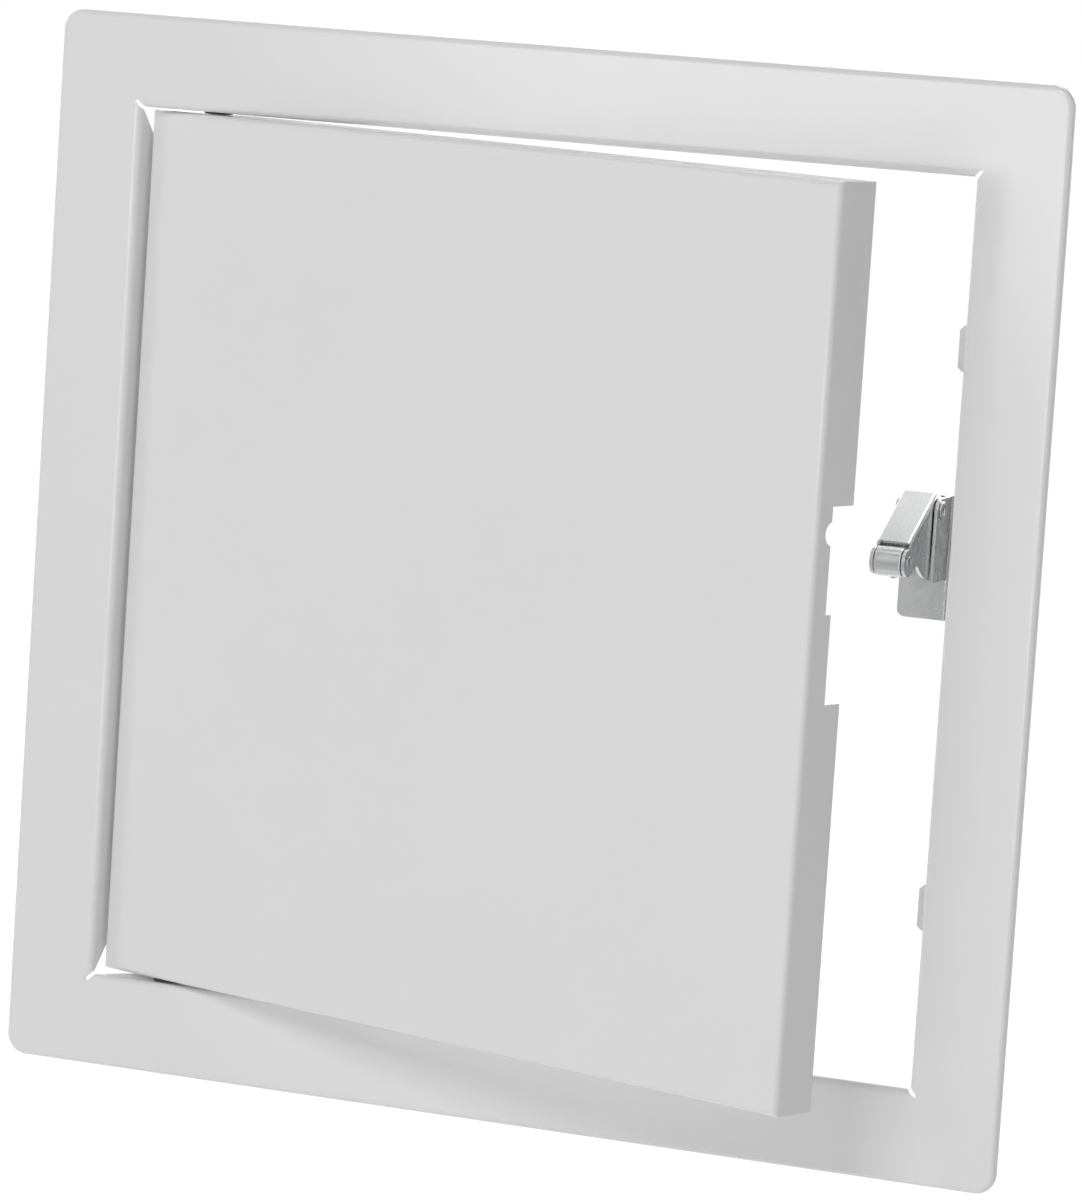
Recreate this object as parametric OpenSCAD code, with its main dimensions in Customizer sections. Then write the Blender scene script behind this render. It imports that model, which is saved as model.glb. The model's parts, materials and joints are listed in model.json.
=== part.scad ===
// Ceiling access panel: a folded sheet-steel frame with a hinged door pan and a roller touch latch.
// The origin is the centre of the opening, on the plane where the rim seats on the ceiling or wall.
// +X runs to the latch side, +Y into the building, +Z up the panel. Sizes are in millimetres.

/* [Frame] */
// Side of the clear square opening
opening_w = 294.2; // [200:0.2:400]
// Width of the visible flange round the opening
flange_w = 30.9; // [22:0.1:50]
// Depth from the flange's front to the back edge of the folded flaps
frame_depth = 50; // [50:0.5:70]
// Thickness of the frame's sheet steel
frame_sheet = 1.2; // [0.8:0.1:1.5]
// Outer corner radius of the flange
corner_r = 7; // [4:0.5:12]
// Depth of the turned-back rim, from the flange's front to its seat
rim_depth = 2.6; // [2.2:0.1:5]
// Outer radius of the rim's bend
rim_bend_r = 2; // [1.6:0.1:2.2]
// Outer radius of the bend between flange and flap
flap_bend_r = 2.3; // [1.8:0.1:4]
// Width of the relief slit at each inner corner
corner_slit = 1.1; // [0.6:0.1:3]

/* [Door stops] */
// Width of each lanced stop tab
stop_tab_w = 15; // [8:0.5:25]
// How far a stop tab stands in from its flap
stop_tab_reach = 8.3; // [4:0.1:12]
// Distance between the two stop tabs
stop_tab_spacing = 182; // [150:1:190]
// Gap between a stop tab and the closed door
stop_gap = 2; // [0.5:0.1:3]

/* [Fixing holes] */
// Diameter of the fixing screw holes in the flaps
fix_hole_d = 4.5; // [3:0.1:6]
// Distance between the two fixing holes of one flap
fix_hole_spacing = 130; // [100:1:160]
// Distance of the fixing holes from the back edge of the flap
fix_hole_inset = 10; // [6:0.5:14]

/* [Door] */
// Gap between the door and the opening, at each side
door_gap = 1.6; // [1.6:0.1:4]
// Gap above the door
door_top_gap = 0.8; // [0.7:0.1:3]
// Gap below the door
door_bottom_gap = 1.3; // [0.7:0.1:4]
// Thickness of the door's sheet steel
door_sheet = 1; // [0.8:0.1:1.5]
// Depth of the folded door pan
door_depth = 18.2; // [16:0.1:22]
// Outer radius of the door pan's bends
door_bend_r = 2.2; // [1.6:0.1:4]
// Angle at which the door stands open
open_angle = 17.5; // [0:0.25:80]

/* [Latch notch in the door] */
// Height of the notch's upper end
notch_top = 45.7; // [42:0.1:60]
// Height of the step in the notch
notch_step = 11.9; // [0:0.1:20]
// Height of the notch's lower end
notch_low = -16.4; // [-40:0.1:-15]
// Strip of the door's side that is left above the step
notch_upper_strip = 7.9; // [6:0.1:10]
// Strip of the door's side that is left below the step
notch_lower_strip = 10.6; // [8:0.1:13]
// Radius of the round bite that clears a rivet head
bite_r = 3.8; // [3.5:0.1:5]

/* [Hinge] */
// Distance of the hinge axis from the door's edge
pivot_inset = 23.5; // [20:0.5:40]
// Distance of the hinge axis behind the door's face
pivot_setback = 7.5; // [7:0.1:10]
// Diameter of the hinge pins
pin_d = 5; // [4:0.1:6]
// Radial clearance of a pin that turns or slides
running_clear = 0.05; // [0.02:0.01:0.08]
// Radial clearance of a piece that is pressed or riveted in
seat_clear = 0.02; // [0.01:0.01:0.05]
// Wall of the nylon hinge bushes
bush_wall = 1.2; // [0.8:0.1:2]
// Width of a bush's flange beyond its body
bush_flange_w = 1; // [0.8:0.1:1.3]
// How far a bush stands out behind its flap
bush_tail = 2.5; // [1:0.1:5]
// Gap between a bush's flange and the door
thrust_clear = 0.2; // [0.15:0.05:0.4]
// Distance between the two ears that guide the upper pin
ear_spacing = 26; // [22:0.5:40]
// Width of the hinge brackets
hinge_bracket_w = 34; // [30:0.5:40]
// Depth of the hinge brackets' ears behind the door's face
hinge_ear_depth = 15; // [13:0.1:16]
// Height of the lower hinge bracket
lower_bracket_h = 24; // [18:0.5:40]
// Thickness of the brackets on the door
bracket_sheet = 1.5; // [1:0.1:2]
// Outer radius of the hinge brackets' bends
bracket_bend_r = 2.4; // [2.2:0.1:3.5]
// Diameter of the upper pin's collar
collar_d = 8; // [7.4:0.1:9]
// Thickness of the upper pin's collar
collar_t = 2; // [1:0.1:3]
// Diameter of the pull knob on the upper pin
knob_d = 11; // [9:0.1:12]
// Height of the pull knob
knob_h = 10; // [6:0.5:14]
// Gap between the pull knob and the ear above it
knob_drop = 7; // [3:0.5:12]
// Diameter of the pin spring's wire
pin_wire_d = 0.8; // [0.5:0.1:1]
// Turns of the pin spring
pin_spring_turns = 7; // [4:1:9]

/* [Weld studs] */
// Diameter of the weld studs that hold the brackets on the door
stud_d = 4; // [3:0.5:5]
// Length of a weld stud
stud_len = 7.5; // [6.5:0.1:9]
// Width across the flats of a stud's nut
nut_af = 7; // [6.5:0.1:8]
// Height of a stud's nut
nut_h = 3.2; // [2.4:0.1:4]
// Radial clearance of a bracket's hole round its stud
stud_clear = 0.25; // [0.1:0.05:0.5]

/* [Latch] */
// Distance of the latch's middle plane from the flap
latch_offset = 22.3; // [20:0.1:30]
// Depth of the lever's pivot behind the flange's front
lever_pivot_depth = 34.4; // [34:0.1:40]
// Height of the lever's pivot above the panel's middle
lever_pivot_z = 37; // [36:0.1:45]
// Outside width of the lever
lever_w = 12; // [9:0.1:14]
// Thickness of the lever's sheet steel
lever_sheet = 1.2; // [0.8:0.1:1.5]
// Angle of the released lever's arm from straight down
lever_angle = 57.5; // [50:0.5:60]
// Angle through which the lever is pushed in
lever_travel = 30; // [20:1:32]
// Distance from the lever's pivot to its roller
roller_arm = 29; // [27:0.1:30]
// Diameter of the roller
roller_d = 9.8; // [8:0.1:10.4]
// Radius of the lever's sector plates about the pivot
sector_r = 23.3; // [20:0.1:23.8]
// Angle from the arm to the front of the sector
sector_front = 14.5; // [12:0.5:18]
// Angle from the arm to the back of the sector
sector_back = 49; // [35:0.5:50]
// Diameter of the lever's pivot pin
lever_pin_d = 4; // [3:0.1:4.5]
// Diameter of the roller's axle
axle_d = 3; // [2:0.1:4]
// Gap between the lever and the base's cheeks, at each side
lever_side_clear = 0.3; // [0.2:0.05:0.6]
// Gap between the roller's ends and the lever's walls
roller_side_clear = 0.25; // [0.15:0.05:0.5]
// Thickness of the base's and its bracket's sheet steel
base_sheet = 1.2; // [0.8:0.1:1.5]
// Radius of the base's latch-side ear round the pivot
base_ear_r = 3.9; // [3.2:0.1:4.2]
// Radius of the base's inner ear round the pivot
inner_ear_r = 2.8; // [2.6:0.1:3.2]
// Distance from the lever's pivot back to the base's web
base_reach = 9.4; // [9.2:0.1:12]
// Height of the cheeks' lower edge
cheek_low = 13.4; // [8:0.1:14]
// Height of the bracket plate's lower edge
tab_low = -0.2; // [-8:0.1:6]
// Width of the bracket's plate
tab_w = 17.6; // [15:0.1:20]
// Distance of the plate's edge from the latch's middle plane
tab_side = 9.1; // [8:0.1:10]
// Corner radius of the plate
tab_corner_r = 2.5; // [1:0.1:4]
// Depth of the step between the plate and the bracket's rear leg
joggle = 2; // [1.4:0.1:2.4]
// Outer radius of the bracket's bends
latch_bend_r = 2; // [1.6:0.1:2.2]
// Height of the mounting leg's lower end
leg_low = -12; // [-14:0.5:0]
// Height of the mounting leg's upper end
leg_high = 41.5; // [40:0.5:42]
// Depth of the mounting leg's front edge behind the flange's front
leg_front = 6.5; // [6:0.1:9]
// Diameter of the latch spring's wire
latch_wire_d = 0.8; // [0.5:0.1:1]
// Turns of the latch spring
latch_spring_turns = 5; // [3:1:6]

/* [Rivets] */
// Diameter of the rivets' shanks
rivet_d = 3.2; // [2.4:0.1:4]
// Diameter of the rivets' heads
rivet_head_d = 6; // [5:0.1:6.5]
// Height of the rivets' heads
rivet_head_h = 1.1; // [0.8:0.1:1.4]
// Diameter of the latch base's rivet heads
small_head_d = 5; // [4:0.1:6]
// Height of the latch base's rivet heads
small_head_h = 0.8; // [0.5:0.1:1]

/* [Strike] */
// Width of the strike's tongue
strike_w = 8; // [5:0.1:9]
// Height of the strike's tongue, at its upper side
strike_z = 5.2; // [3:0.1:5.6]
// Height of the strike's upturned lip
strike_lip_h = 8; // [5:0.1:8.2]
// Gap between the lip and the roller when the lever is in
strike_gap = 0.7; // [0.4:0.1:1.5]
// Width of the strike's foot
strike_foot_w = 20; // [14:0.5:24]
// Height of the strike's foot
strike_foot_h = 32; // [24:0.5:40]

/* [Hidden] */
$fn = 48;

// Planes and half sizes of the frame
half_open = opening_w / 2;
half_frame = half_open + flange_w;
front_y = -rim_depth;
back_y = front_y + frame_depth;
slit_z = corner_slit / sqrt(2);
flap_half = half_open - slit_z;
flap_y = front_y + flap_bend_r;
stop_y = front_y + door_depth + stop_gap;
fix_y = back_y - fix_hole_inset;
stop_chamfer = 1.5;

// The door is drawn shut and then hung at its open angle
door_left = -half_open + door_gap;
door_right = half_open - door_gap;
door_top = half_open - door_top_gap;
door_bottom = -half_open + door_bottom_gap;
door_inner_y = front_y + door_sheet;
door_back_y = front_y + door_depth;
pivot_x = door_left + pivot_inset;
pivot_y = front_y + pivot_setback;
plate_y = door_inner_y + bracket_sheet;

// Hinge pins, from the frame's flaps down or up to the brackets
bush_r = pin_d / 2 + running_clear + bush_wall;
pin_tip = half_open + frame_sheet + bush_tail - thrust_clear;
ear_top = door_top - door_sheet;
ear_low = ear_top - bracket_sheet - ear_spacing;
collar_top = ear_top - bracket_sheet - seat_clear;
knob_top = ear_low - bracket_sheet - knob_drop;
lower_ear = door_bottom + door_sheet + bracket_sheet;
lower_head_h = 1.6;
pin_chamfer = 0.6;
knob_bore_depth = knob_h * 0.7;
// heights of the knob's foot, waist and shoulder, as shares of its height
knob_shares = [0.35, 0.5, 0.75, 0.85];

// Studs: two for each bracket on the door, as X and Z
stud_side = hinge_bracket_w / 2 - nut_af / 2 - bracket_sheet;
upper_stud_z = (ear_top + ear_low - bracket_sheet) / 2;
lower_stud_z = lower_ear + lower_bracket_h / 2;
strike_x = half_open - latch_offset;
strike_stud_z = [for (s = [1, 3]) strike_z - bracket_sheet - strike_foot_h * s / 4];
studs = concat(
    [for (s = [-1, 1]) [pivot_x + s * stud_side, upper_stud_z]],
    [for (s = [-1, 1]) [pivot_x + s * stud_side, lower_stud_z]],
    [for (z = strike_stud_z) [strike_x, z]]
);

// The lever's side view: U runs along the arm from pivot to roller, V towards the front
lever_x = half_open - latch_offset;
lever_y = front_y + lever_pivot_depth;
lever_z = lever_pivot_z;
roller_r = roller_d / 2;
lever_in = lever_w - 2 * lever_sheet;
lobe_inset = 0.3;
lobe_r = roller_r - lobe_inset;
web_start = -2.3;
web_gap = 1;
web_end = roller_arm - sqrt(pow(roller_r, 2) - pow(roller_r - lever_sheet, 2)) - web_gap;
roller_edge = 0.5;
axle_head_r = axle_d / 2 + 0.6;
axle_head_h = 0.3;

// The latch base stands round the lever, on the bracket's plate
cheek_in = lever_w / 2 + lever_side_clear;
cheek_out = cheek_in + base_sheet;
base_y = lever_y + base_reach + base_sheet;
rear_y = base_y + base_sheet + joggle;
tab_left = lever_x - tab_side;
tab_right = tab_left + tab_w;
leg_y = front_y + leg_front;
pivot_head_r = lever_pin_d / 2 + 0.8;
pivot_head_h = 0.8;
rivet_front_edge = 0.5;
rivet_top_edge = 1.3;
rivet_low_edge = 2;
base_rivet_z = [cheek_low + 8, lever_z - 5];
leg_rivets = [
    [leg_y + rivet_front_edge + rivet_head_d / 2, leg_high - rivet_top_edge - rivet_head_d / 2],
    [front_y + notch_lower_strip + rivet_head_d, leg_low + rivet_low_edge + rivet_head_d / 2],
    [rear_y - latch_bend_r - rivet_head_d, leg_high - rivet_top_edge - rivet_head_d / 2],
    [rear_y - latch_bend_r - rivet_head_d, leg_low + rivet_low_edge + rivet_head_d / 2]
];
bite_inset = 0.9;
tail_d = rivet_d * 1.5;
tail_h = 1;

// Place of the roller when the lever is pushed in, which the strike hooks behind
shut_angle = lever_angle - lever_travel;
shut_roller_y = lever_y - roller_arm * sin(shut_angle);
lip_y = shut_roller_y + roller_r + strike_gap;

// Springs
coil_clear = 0.2;
seat_gap = 0.05;
pin_coil_r = pin_d / 2 + coil_clear + pin_wire_d / 2;
pin_spring_low = ear_low + pin_wire_d / 2 + seat_gap;
pin_spring_high = collar_top - collar_t - pin_wire_d / 2 - seat_gap;
latch_coil_r = lever_pin_d / 2 + coil_clear + latch_wire_d / 2;
coil_pitch = 1.15 * latch_wire_d;
spring_steps = 14;
wire_sides = 8;

// A flat shape drawn as X and Z, from y0 through thickness t
module front_plate(y0, t) {
    translate([0, y0 + t, 0]) rotate([90, 0, 0]) linear_extrude(t) children();
}

// A flat shape drawn as Y and Z, from x0 through thickness t
module side_plate(x0, t) {
    translate([x0, 0, 0]) rotate([90, 0, 90]) linear_extrude(t) children();
}

// A quarter ring about the origin, in the quarter that sx and sy point to
module quarter_ring(r, t, sx, sy) {
    intersection() {
        difference() {
            circle(r);
            circle(r - t);
        }
        translate([sx > 0 ? 0 : -r, sy > 0 ? 0 : -r]) square(r);
    }
}

module rounded_square(half, r) {
    square([2 * half, 2 * (half - r)], center = true);
    square([2 * (half - r), 2 * half], center = true);
    for (x = [-1, 1], z = [-1, 1])
        translate([x * (half - r), z * (half - r)]) circle(r);
}

// A round bar along X, Y or Z between two ends
module bar_x(r, x0, x1) { translate([x0, 0, 0]) rotate([0, 90, 0]) cylinder(r = r, h = x1 - x0); }
module bar_y(r, y0, y1) { translate([0, y1, 0]) rotate([90, 0, 0]) cylinder(r = r, h = y1 - y0); }
module bar_z(r, z0, z1) { translate([0, 0, z0]) cylinder(r = r, h = z1 - z0); }

// Everything on the door turns about the hinge axis
module hung() {
    translate([pivot_x, pivot_y, 0]) rotate([0, 0, -open_angle])
        translate([-pivot_x, -pivot_y, 0]) children();
}

// Wire of radius r along points, with rings square to a direction that the path never follows
function unit(v) = v / norm(v);
function tangent(p, i) = unit(p[min(i + 1, len(p) - 1)] - p[max(i - 1, 0)]);
function ring_point(p, i, k, r, side) =
    let (t = tangent(p, i), n = unit(cross(t, side)), b = cross(t, n), a = 360 * k / wire_sides)
    p[i] + r * (cos(a) * n + sin(a) * b);

module wire(p, r, side) {
    n = len(p);
    m = wire_sides;
    points = [for (i = [0:n - 1], k = [0:m - 1]) ring_point(p, i, k, r, side)];
    walls = [for (i = [0:n - 2], k = [0:m - 1], half = [0, 1])
        half == 0
            ? [i * m + k, (i + 1) * m + k, i * m + (k + 1) % m]
            : [i * m + (k + 1) % m, (i + 1) * m + k, (i + 1) * m + (k + 1) % m]];
    first = [[for (k = [0:m - 1]) k]];
    last = [[for (k = [m - 1:-1:0]) (n - 1) * m + k]];
    polyhedron(points, concat(first, walls, last), convexity = 6);
}

// Frame
// The rim's section: U outwards from the corner's centre, V back from the seat
module rim_section() {
    translate([corner_r - rim_bend_r, front_y + rim_bend_r]) {
        quarter_ring(rim_bend_r, frame_sheet, 1, -1);
        translate([rim_bend_r - frame_sheet, 0]) square([frame_sheet, rim_depth - rim_bend_r]);
    }
}

module rim() {
    c = half_frame - corner_r;
    for (a = [0:90:270]) rotate([0, a, 0]) {
        linear_extrude(2 * c, center = true) translate([c, 0]) rim_section();
        translate([c, 0, c]) rotate([90, 0, 0])
            rotate_extrude(angle = 90) mirror([0, 1]) rim_section();
    }
}

// One flap folded back from the opening's right edge, with ends cut at 45 degrees
module flap() {
    intersection() {
        linear_extrude(2 * half_frame, center = true)
            translate([half_open + flap_bend_r, flap_y])
                quarter_ring(flap_bend_r, frame_sheet, -1, -1);
        front_plate(front_y, flap_bend_r) polygon([
            [half_open, -flap_half], [half_open + flap_bend_r, -flap_half - flap_bend_r],
            [half_open + flap_bend_r, flap_half + flap_bend_r], [half_open, flap_half]
        ]);
    }
    run = back_y - flap_y;
    side_plate(half_open, frame_sheet) polygon([
        [flap_y, -flap_half], [back_y, run - flap_half], [back_y, flap_half - run], [flap_y, flap_half]
    ]);
}

module stop_tab() {
    x0 = half_open - stop_tab_reach;
    w = stop_tab_w / 2;
    front_plate(stop_y, frame_sheet) polygon([
        [x0 + stop_chamfer, -w], [half_open + frame_sheet, -w], [half_open + frame_sheet, w],
        [x0 + stop_chamfer, w], [x0, w - stop_chamfer], [x0, stop_chamfer - w]
    ]);
}

module stop_window() {
    side_plate(half_open - frame_sheet, 3 * frame_sheet)
        translate([stop_y + frame_sheet, -stop_tab_w / 2]) square([stop_tab_reach, stop_tab_w]);
}

module frame() {
    color("whitesmoke") difference() {
        union() {
            front_plate(front_y, frame_sheet) difference() {
                rounded_square(half_frame - rim_bend_r, corner_r - rim_bend_r);
                square(2 * (half_open + flap_bend_r), center = true);
            }
            rim();
            for (a = [0:90:270]) rotate([0, a, 0]) flap();
            for (s = [-1, 1]) translate([0, 0, s * stop_tab_spacing / 2]) stop_tab();
        }
        for (s = [-1, 1]) translate([0, 0, s * stop_tab_spacing / 2]) stop_window();
        for (a = [0:90:270], s = [-1, 1]) rotate([0, a, 0])
            translate([0, fix_y, s * fix_hole_spacing / 2])
                bar_x(fix_hole_d / 2, half_open - frame_sheet, half_open + 2 * frame_sheet);
        for (s = [0, 180]) translate([pivot_x, pivot_y, 0]) rotate([s, 0, 0])
            bar_z(bush_r + seat_clear, half_open - frame_sheet, half_open + 2 * frame_sheet);
        for (r = leg_rivets) translate([0, r[0], r[1]])
            bar_x(rivet_d / 2 + seat_clear, half_open - frame_sheet, half_open + 2 * frame_sheet);
    }
}

// A flanged nylon bush in a flap, its flange filling the gap above or below the door
module bush(gap) {
    flange_t = gap - thrust_clear;
    difference() {
        union() {
            bar_z(bush_r, half_open, half_open + frame_sheet + bush_tail);
            bar_z(bush_r + bush_flange_w, half_open - flange_t, half_open);
        }
        bar_z(pin_d / 2 + running_clear, half_open - gap, half_open + frame_sheet + 2 * bush_tail);
    }
}

module hinge_bush_top() {
    color("dimgray") translate([pivot_x, pivot_y, 0]) bush(door_top_gap);
}

module hinge_bush_bottom() {
    color("dimgray") translate([pivot_x, pivot_y, 0]) mirror([0, 0, 1]) bush(door_bottom_gap);
}

// Latch, on the frame
// The bracket's plan: mounting leg, rear leg, step and the plate that carries the base
module bracket_plan() {
    step_x = tab_right - base_sheet;
    bend = latch_bend_r;
    translate([half_open - base_sheet, leg_y]) square([base_sheet, rear_y + base_sheet - bend - leg_y]);
    translate([half_open - bend, rear_y + base_sheet - bend]) quarter_ring(bend, base_sheet, 1, 1);
    translate([step_x, rear_y]) square([half_open - bend - step_x, base_sheet]);
    translate([step_x, base_y + bend]) square([base_sheet, rear_y + base_sheet - base_y - bend]);
    translate([tab_right - bend, base_y + bend]) quarter_ring(bend, base_sheet, 1, -1);
    translate([tab_left, base_y]) square([tab_right - bend - tab_left, base_sheet]);
}

module latch_bracket() {
    plate_top = lever_z + base_ear_r;
    color("silver") difference() {
        translate([0, 0, leg_low]) linear_extrude(leg_high - leg_low) bracket_plan();
        // the plate ends lower down and has a round corner
        front_plate(base_y - base_sheet, rear_y - base_y + base_sheet) {
            translate([tab_left - tab_w, leg_low - tab_w])
                square([2 * tab_w + base_sheet, tab_low - leg_low + tab_w]);
            translate([tab_left, tab_low]) difference() {
                square(tab_corner_r);
                translate([tab_corner_r, tab_corner_r]) circle(tab_corner_r);
            }
            translate([tab_left - tab_w, plate_top]) square([2 * tab_w + base_sheet, leg_high]);
        }
        for (r = leg_rivets) translate([0, r[0], r[1]])
            bar_x(rivet_d / 2 + seat_clear, half_open - 2 * base_sheet, half_open + base_sheet);
        for (z = base_rivet_z) translate([lever_x, 0, z])
            bar_y(rivet_d / 2 + seat_clear, base_y - base_sheet, base_y + 2 * base_sheet);
    }
}

// A rivet along X: low domed head towards -X, shank through the sheets and a flat tail
module rivet(grip, head_d, head_h) {
    dome_r = (pow(head_d / 2, 2) + pow(head_h, 2)) / (2 * head_h);
    intersection() {
        translate([dome_r - head_h, 0, 0]) sphere(dome_r);
        bar_x(head_d, -head_h, 0);
    }
    bar_x(rivet_d / 2, 0, grip);
    bar_x(tail_d / 2, grip, grip + tail_h);
}

module latch_bracket_rivets() {
    color("lightgray") for (r = leg_rivets) translate([half_open - base_sheet, r[0], r[1]])
        rivet(base_sheet + frame_sheet, rivet_head_d, rivet_head_h);
}

// One of the base's cheeks, drawn as Y and Z
module cheek_outline(ear_r) {
    translate([lever_y - ear_r, cheek_low]) square([base_y - lever_y + ear_r, lever_z - cheek_low]);
    translate([lever_y, lever_z]) circle(ear_r);
    translate([lever_y, lever_z]) square([base_y - lever_y, ear_r]);
}

module latch_base() {
    color("silver") difference() {
        union() {
            side_plate(lever_x - cheek_out, base_sheet) cheek_outline(inner_ear_r);
            side_plate(lever_x + cheek_in, base_sheet) cheek_outline(base_ear_r);
            translate([lever_x - cheek_out, base_y - base_sheet, cheek_low])
                cube([2 * cheek_out, base_sheet, lever_z + base_ear_r - cheek_low]);
        }
        translate([lever_x, lever_y, lever_z])
            bar_x(lever_pin_d / 2 + seat_clear, -2 * cheek_out, 2 * cheek_out);
        for (z = base_rivet_z) translate([lever_x, 0, z])
            bar_y(rivet_d / 2 + seat_clear, base_y - 2 * base_sheet, base_y + base_sheet);
    }
}

module latch_base_rivets() {
    color("lightgray") for (z = base_rivet_z) translate([lever_x, base_y - base_sheet, z])
        rotate([0, 0, 90]) rivet(2 * base_sheet, small_head_d, small_head_h);
}

// Headed over on the latch side and pressed flush into the inner cheek
module latch_pivot_pin() {
    color("lightgray") translate([lever_x, lever_y, lever_z]) {
        bar_x(lever_pin_d / 2, -cheek_out, cheek_out);
        bar_x(pivot_head_r, cheek_out, cheek_out + pivot_head_h);
    }
}

// Turns the lever's side view, drawn along its arm, into the panel's Y and Z
module lever_frame() {
    translate([lever_x, lever_y, lever_z]) rotate([90 - lever_angle, 0, 0])
        mirror([0, 1, 0]) rotate([90, 0, 90]) children();
}

module lever_wall() {
    circle(roller_r);
    translate([roller_arm, 0]) circle(lobe_r);
    polygon([
        [0, -lobe_r], sector_r * [cos(sector_front), -sin(sector_front)], [roller_arm, -lobe_r],
        [roller_arm, roller_r - lever_sheet], [0, roller_r - lever_sheet]
    ]);
    translate([web_start, 0]) square([web_end - web_start, roller_r]);
    intersection() {
        circle(sector_r);
        polygon([[0, 0], for (a = [sector_front, (sector_front + sector_back) / 2, sector_back])
            2 * sector_r * [cos(a), -sin(a)]]);
    }
}

module latch_lever() {
    color("silver") lever_frame() difference() {
        union() {
            for (s = [-lever_w / 2, lever_in / 2]) translate([0, 0, s]) linear_extrude(lever_sheet)
                intersection() {
                    lever_wall();
                    translate([-sector_r, -2 * sector_r]) square([4 * sector_r, 2 * sector_r + roller_r]);
                }
            translate([web_start, roller_r - lever_sheet, -lever_w / 2])
                cube([web_end - web_start, lever_sheet, lever_w]);
        }
        translate([0, 0, -lever_w]) cylinder(d = lever_pin_d + 2 * running_clear, h = 2 * lever_w);
        translate([roller_arm, 0, -lever_w]) cylinder(d = axle_d + 2 * seat_clear, h = 2 * lever_w);
    }
}

module latch_roller_axle() {
    color("lightgray") lever_frame() translate([roller_arm, 0, 0]) {
        cylinder(d = axle_d, h = lever_w, center = true);
        for (s = [-lever_w / 2 - axle_head_h, lever_w / 2])
            translate([0, 0, s]) cylinder(r = axle_head_r, h = axle_head_h);
    }
}

module latch_roller() {
    half_l = lever_in / 2 - roller_side_clear;
    edge = roller_edge;
    bore_r = axle_d / 2 + running_clear;
    color("gainsboro") lever_frame() translate([roller_arm, 0, 0]) rotate_extrude() polygon([
        [bore_r, -half_l], [roller_r - edge, -half_l], [roller_r, edge - half_l],
        [roller_r, half_l - edge], [roller_r - edge, half_l], [bore_r, half_l]
    ]);
}

// A coil about the pivot pin, one leg under the lever's web and one on the base's web.
// In the side view, angles turn from straight forward up and back.
module latch_torsion_spring() {
    gap = latch_wire_d / 2 + seat_gap;
    leg_u = web_end / 2;
    leg_v = roller_r - lever_sheet - gap;
    steps = spring_steps * latch_spring_turns;
    wound = 360 * latch_spring_turns + 90 - lever_angle;
    span = coil_pitch * latch_spring_turns;
    lever_leg = [-span / 2, -leg_u * sin(lever_angle) - leg_v * cos(lever_angle),
        leg_v * sin(lever_angle) - leg_u * cos(lever_angle)];
    coil = [for (i = [0:steps]) let (a = lever_angle + wound * i / steps)
        [span * (i / steps - 1 / 2), -latch_coil_r * cos(a), latch_coil_r * sin(a)]];
    base_leg = [span / 2, base_reach - gap, latch_coil_r];
    color("darkgray") translate([lever_x, lever_y, lever_z])
        wire(concat([lever_leg], coil, [base_leg]), latch_wire_d / 2, [1, 0, 0]);
}

// Door
// A pan's block with its four front edges rounded, inset all round by t
module pan_block(t, r, y1) {
    x0 = door_left + t;
    x1 = door_right - t;
    z0 = door_bottom + t;
    z1 = door_top - t;
    y0 = front_y + t;
    intersection() {
        translate([0, 0, z0]) linear_extrude(z1 - z0) {
            translate([x0 + r, y0]) square([x1 - x0 - 2 * r, y1 - y0]);
            translate([x0, y0 + r]) square([x1 - x0, y1 - y0 - r]);
            for (x = [x0 + r, x1 - r]) translate([x, y0 + r]) circle(r);
        }
        side_plate(x0, x1 - x0) {
            translate([y0, z0 + r]) square([y1 - y0, z1 - z0 - 2 * r]);
            translate([y0 + r, z0]) square([y1 - y0 - r, z1 - z0]);
            for (z = [z0 + r, z1 - r]) translate([y0 + r, z]) circle(r);
        }
    }
}

// What is cut from the door's latch side, drawn as Y and Z
module notch_outline() {
    past = door_back_y + door_sheet;
    upper_y = front_y + notch_upper_strip;
    lower_y = front_y + notch_lower_strip;
    polygon([
        [past, notch_low], [past, notch_top], [upper_y, notch_top],
        [upper_y, notch_step], [lower_y, notch_step], [lower_y, notch_low]
    ]);
    translate([upper_y + bite_inset, leg_rivets[0][1]]) circle(bite_r);
}

module door_pan() {
    color("whitesmoke") hung() difference() {
        pan_block(0, door_bend_r, door_back_y);
        pan_block(door_sheet, door_bend_r - door_sheet, door_back_y + door_sheet);
        side_plate(door_right - 2 * door_sheet, 4 * door_sheet) notch_outline();
        translate([pivot_x, pivot_y, 0]) {
            bar_z(pin_d / 2 + running_clear, door_top - 2 * door_sheet, door_top + door_sheet);
            bar_z(pin_d / 2 + seat_clear, door_bottom - door_sheet, door_bottom + 2 * door_sheet);
        }
    }
}

// A hole for each stud of a bracket on the door
module stud_holes(list) {
    for (s = list) translate([s[0], 0, s[1]])
        bar_y(stud_d / 2 + stud_clear, door_inner_y - bracket_sheet, plate_y + bracket_sheet);
}

// The side view of a hinge bracket's ear, bent from the plate, with its outer face at z
// and the plate below it where side is 1 or above it where side is -1
module bent_ear(z, side) {
    y0 = door_inner_y + bracket_bend_r;
    translate([y0, z - side * bracket_bend_r]) quarter_ring(bracket_bend_r, bracket_sheet, -1, side);
    translate([y0, side > 0 ? z - bracket_sheet : z])
        square([hinge_ear_depth - bracket_bend_r, bracket_sheet]);
}

// A hinge bracket from its side view, with its stud holes and a hole for the pin
module hinge_bracket(pin_hole_r, bracket_studs) {
    difference() {
        side_plate(pivot_x - hinge_bracket_w / 2, hinge_bracket_w) children();
        stud_holes(bracket_studs);
        translate([pivot_x, pivot_y, 0]) bar_z(pin_hole_r, -half_open, half_open);
    }
}

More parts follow.
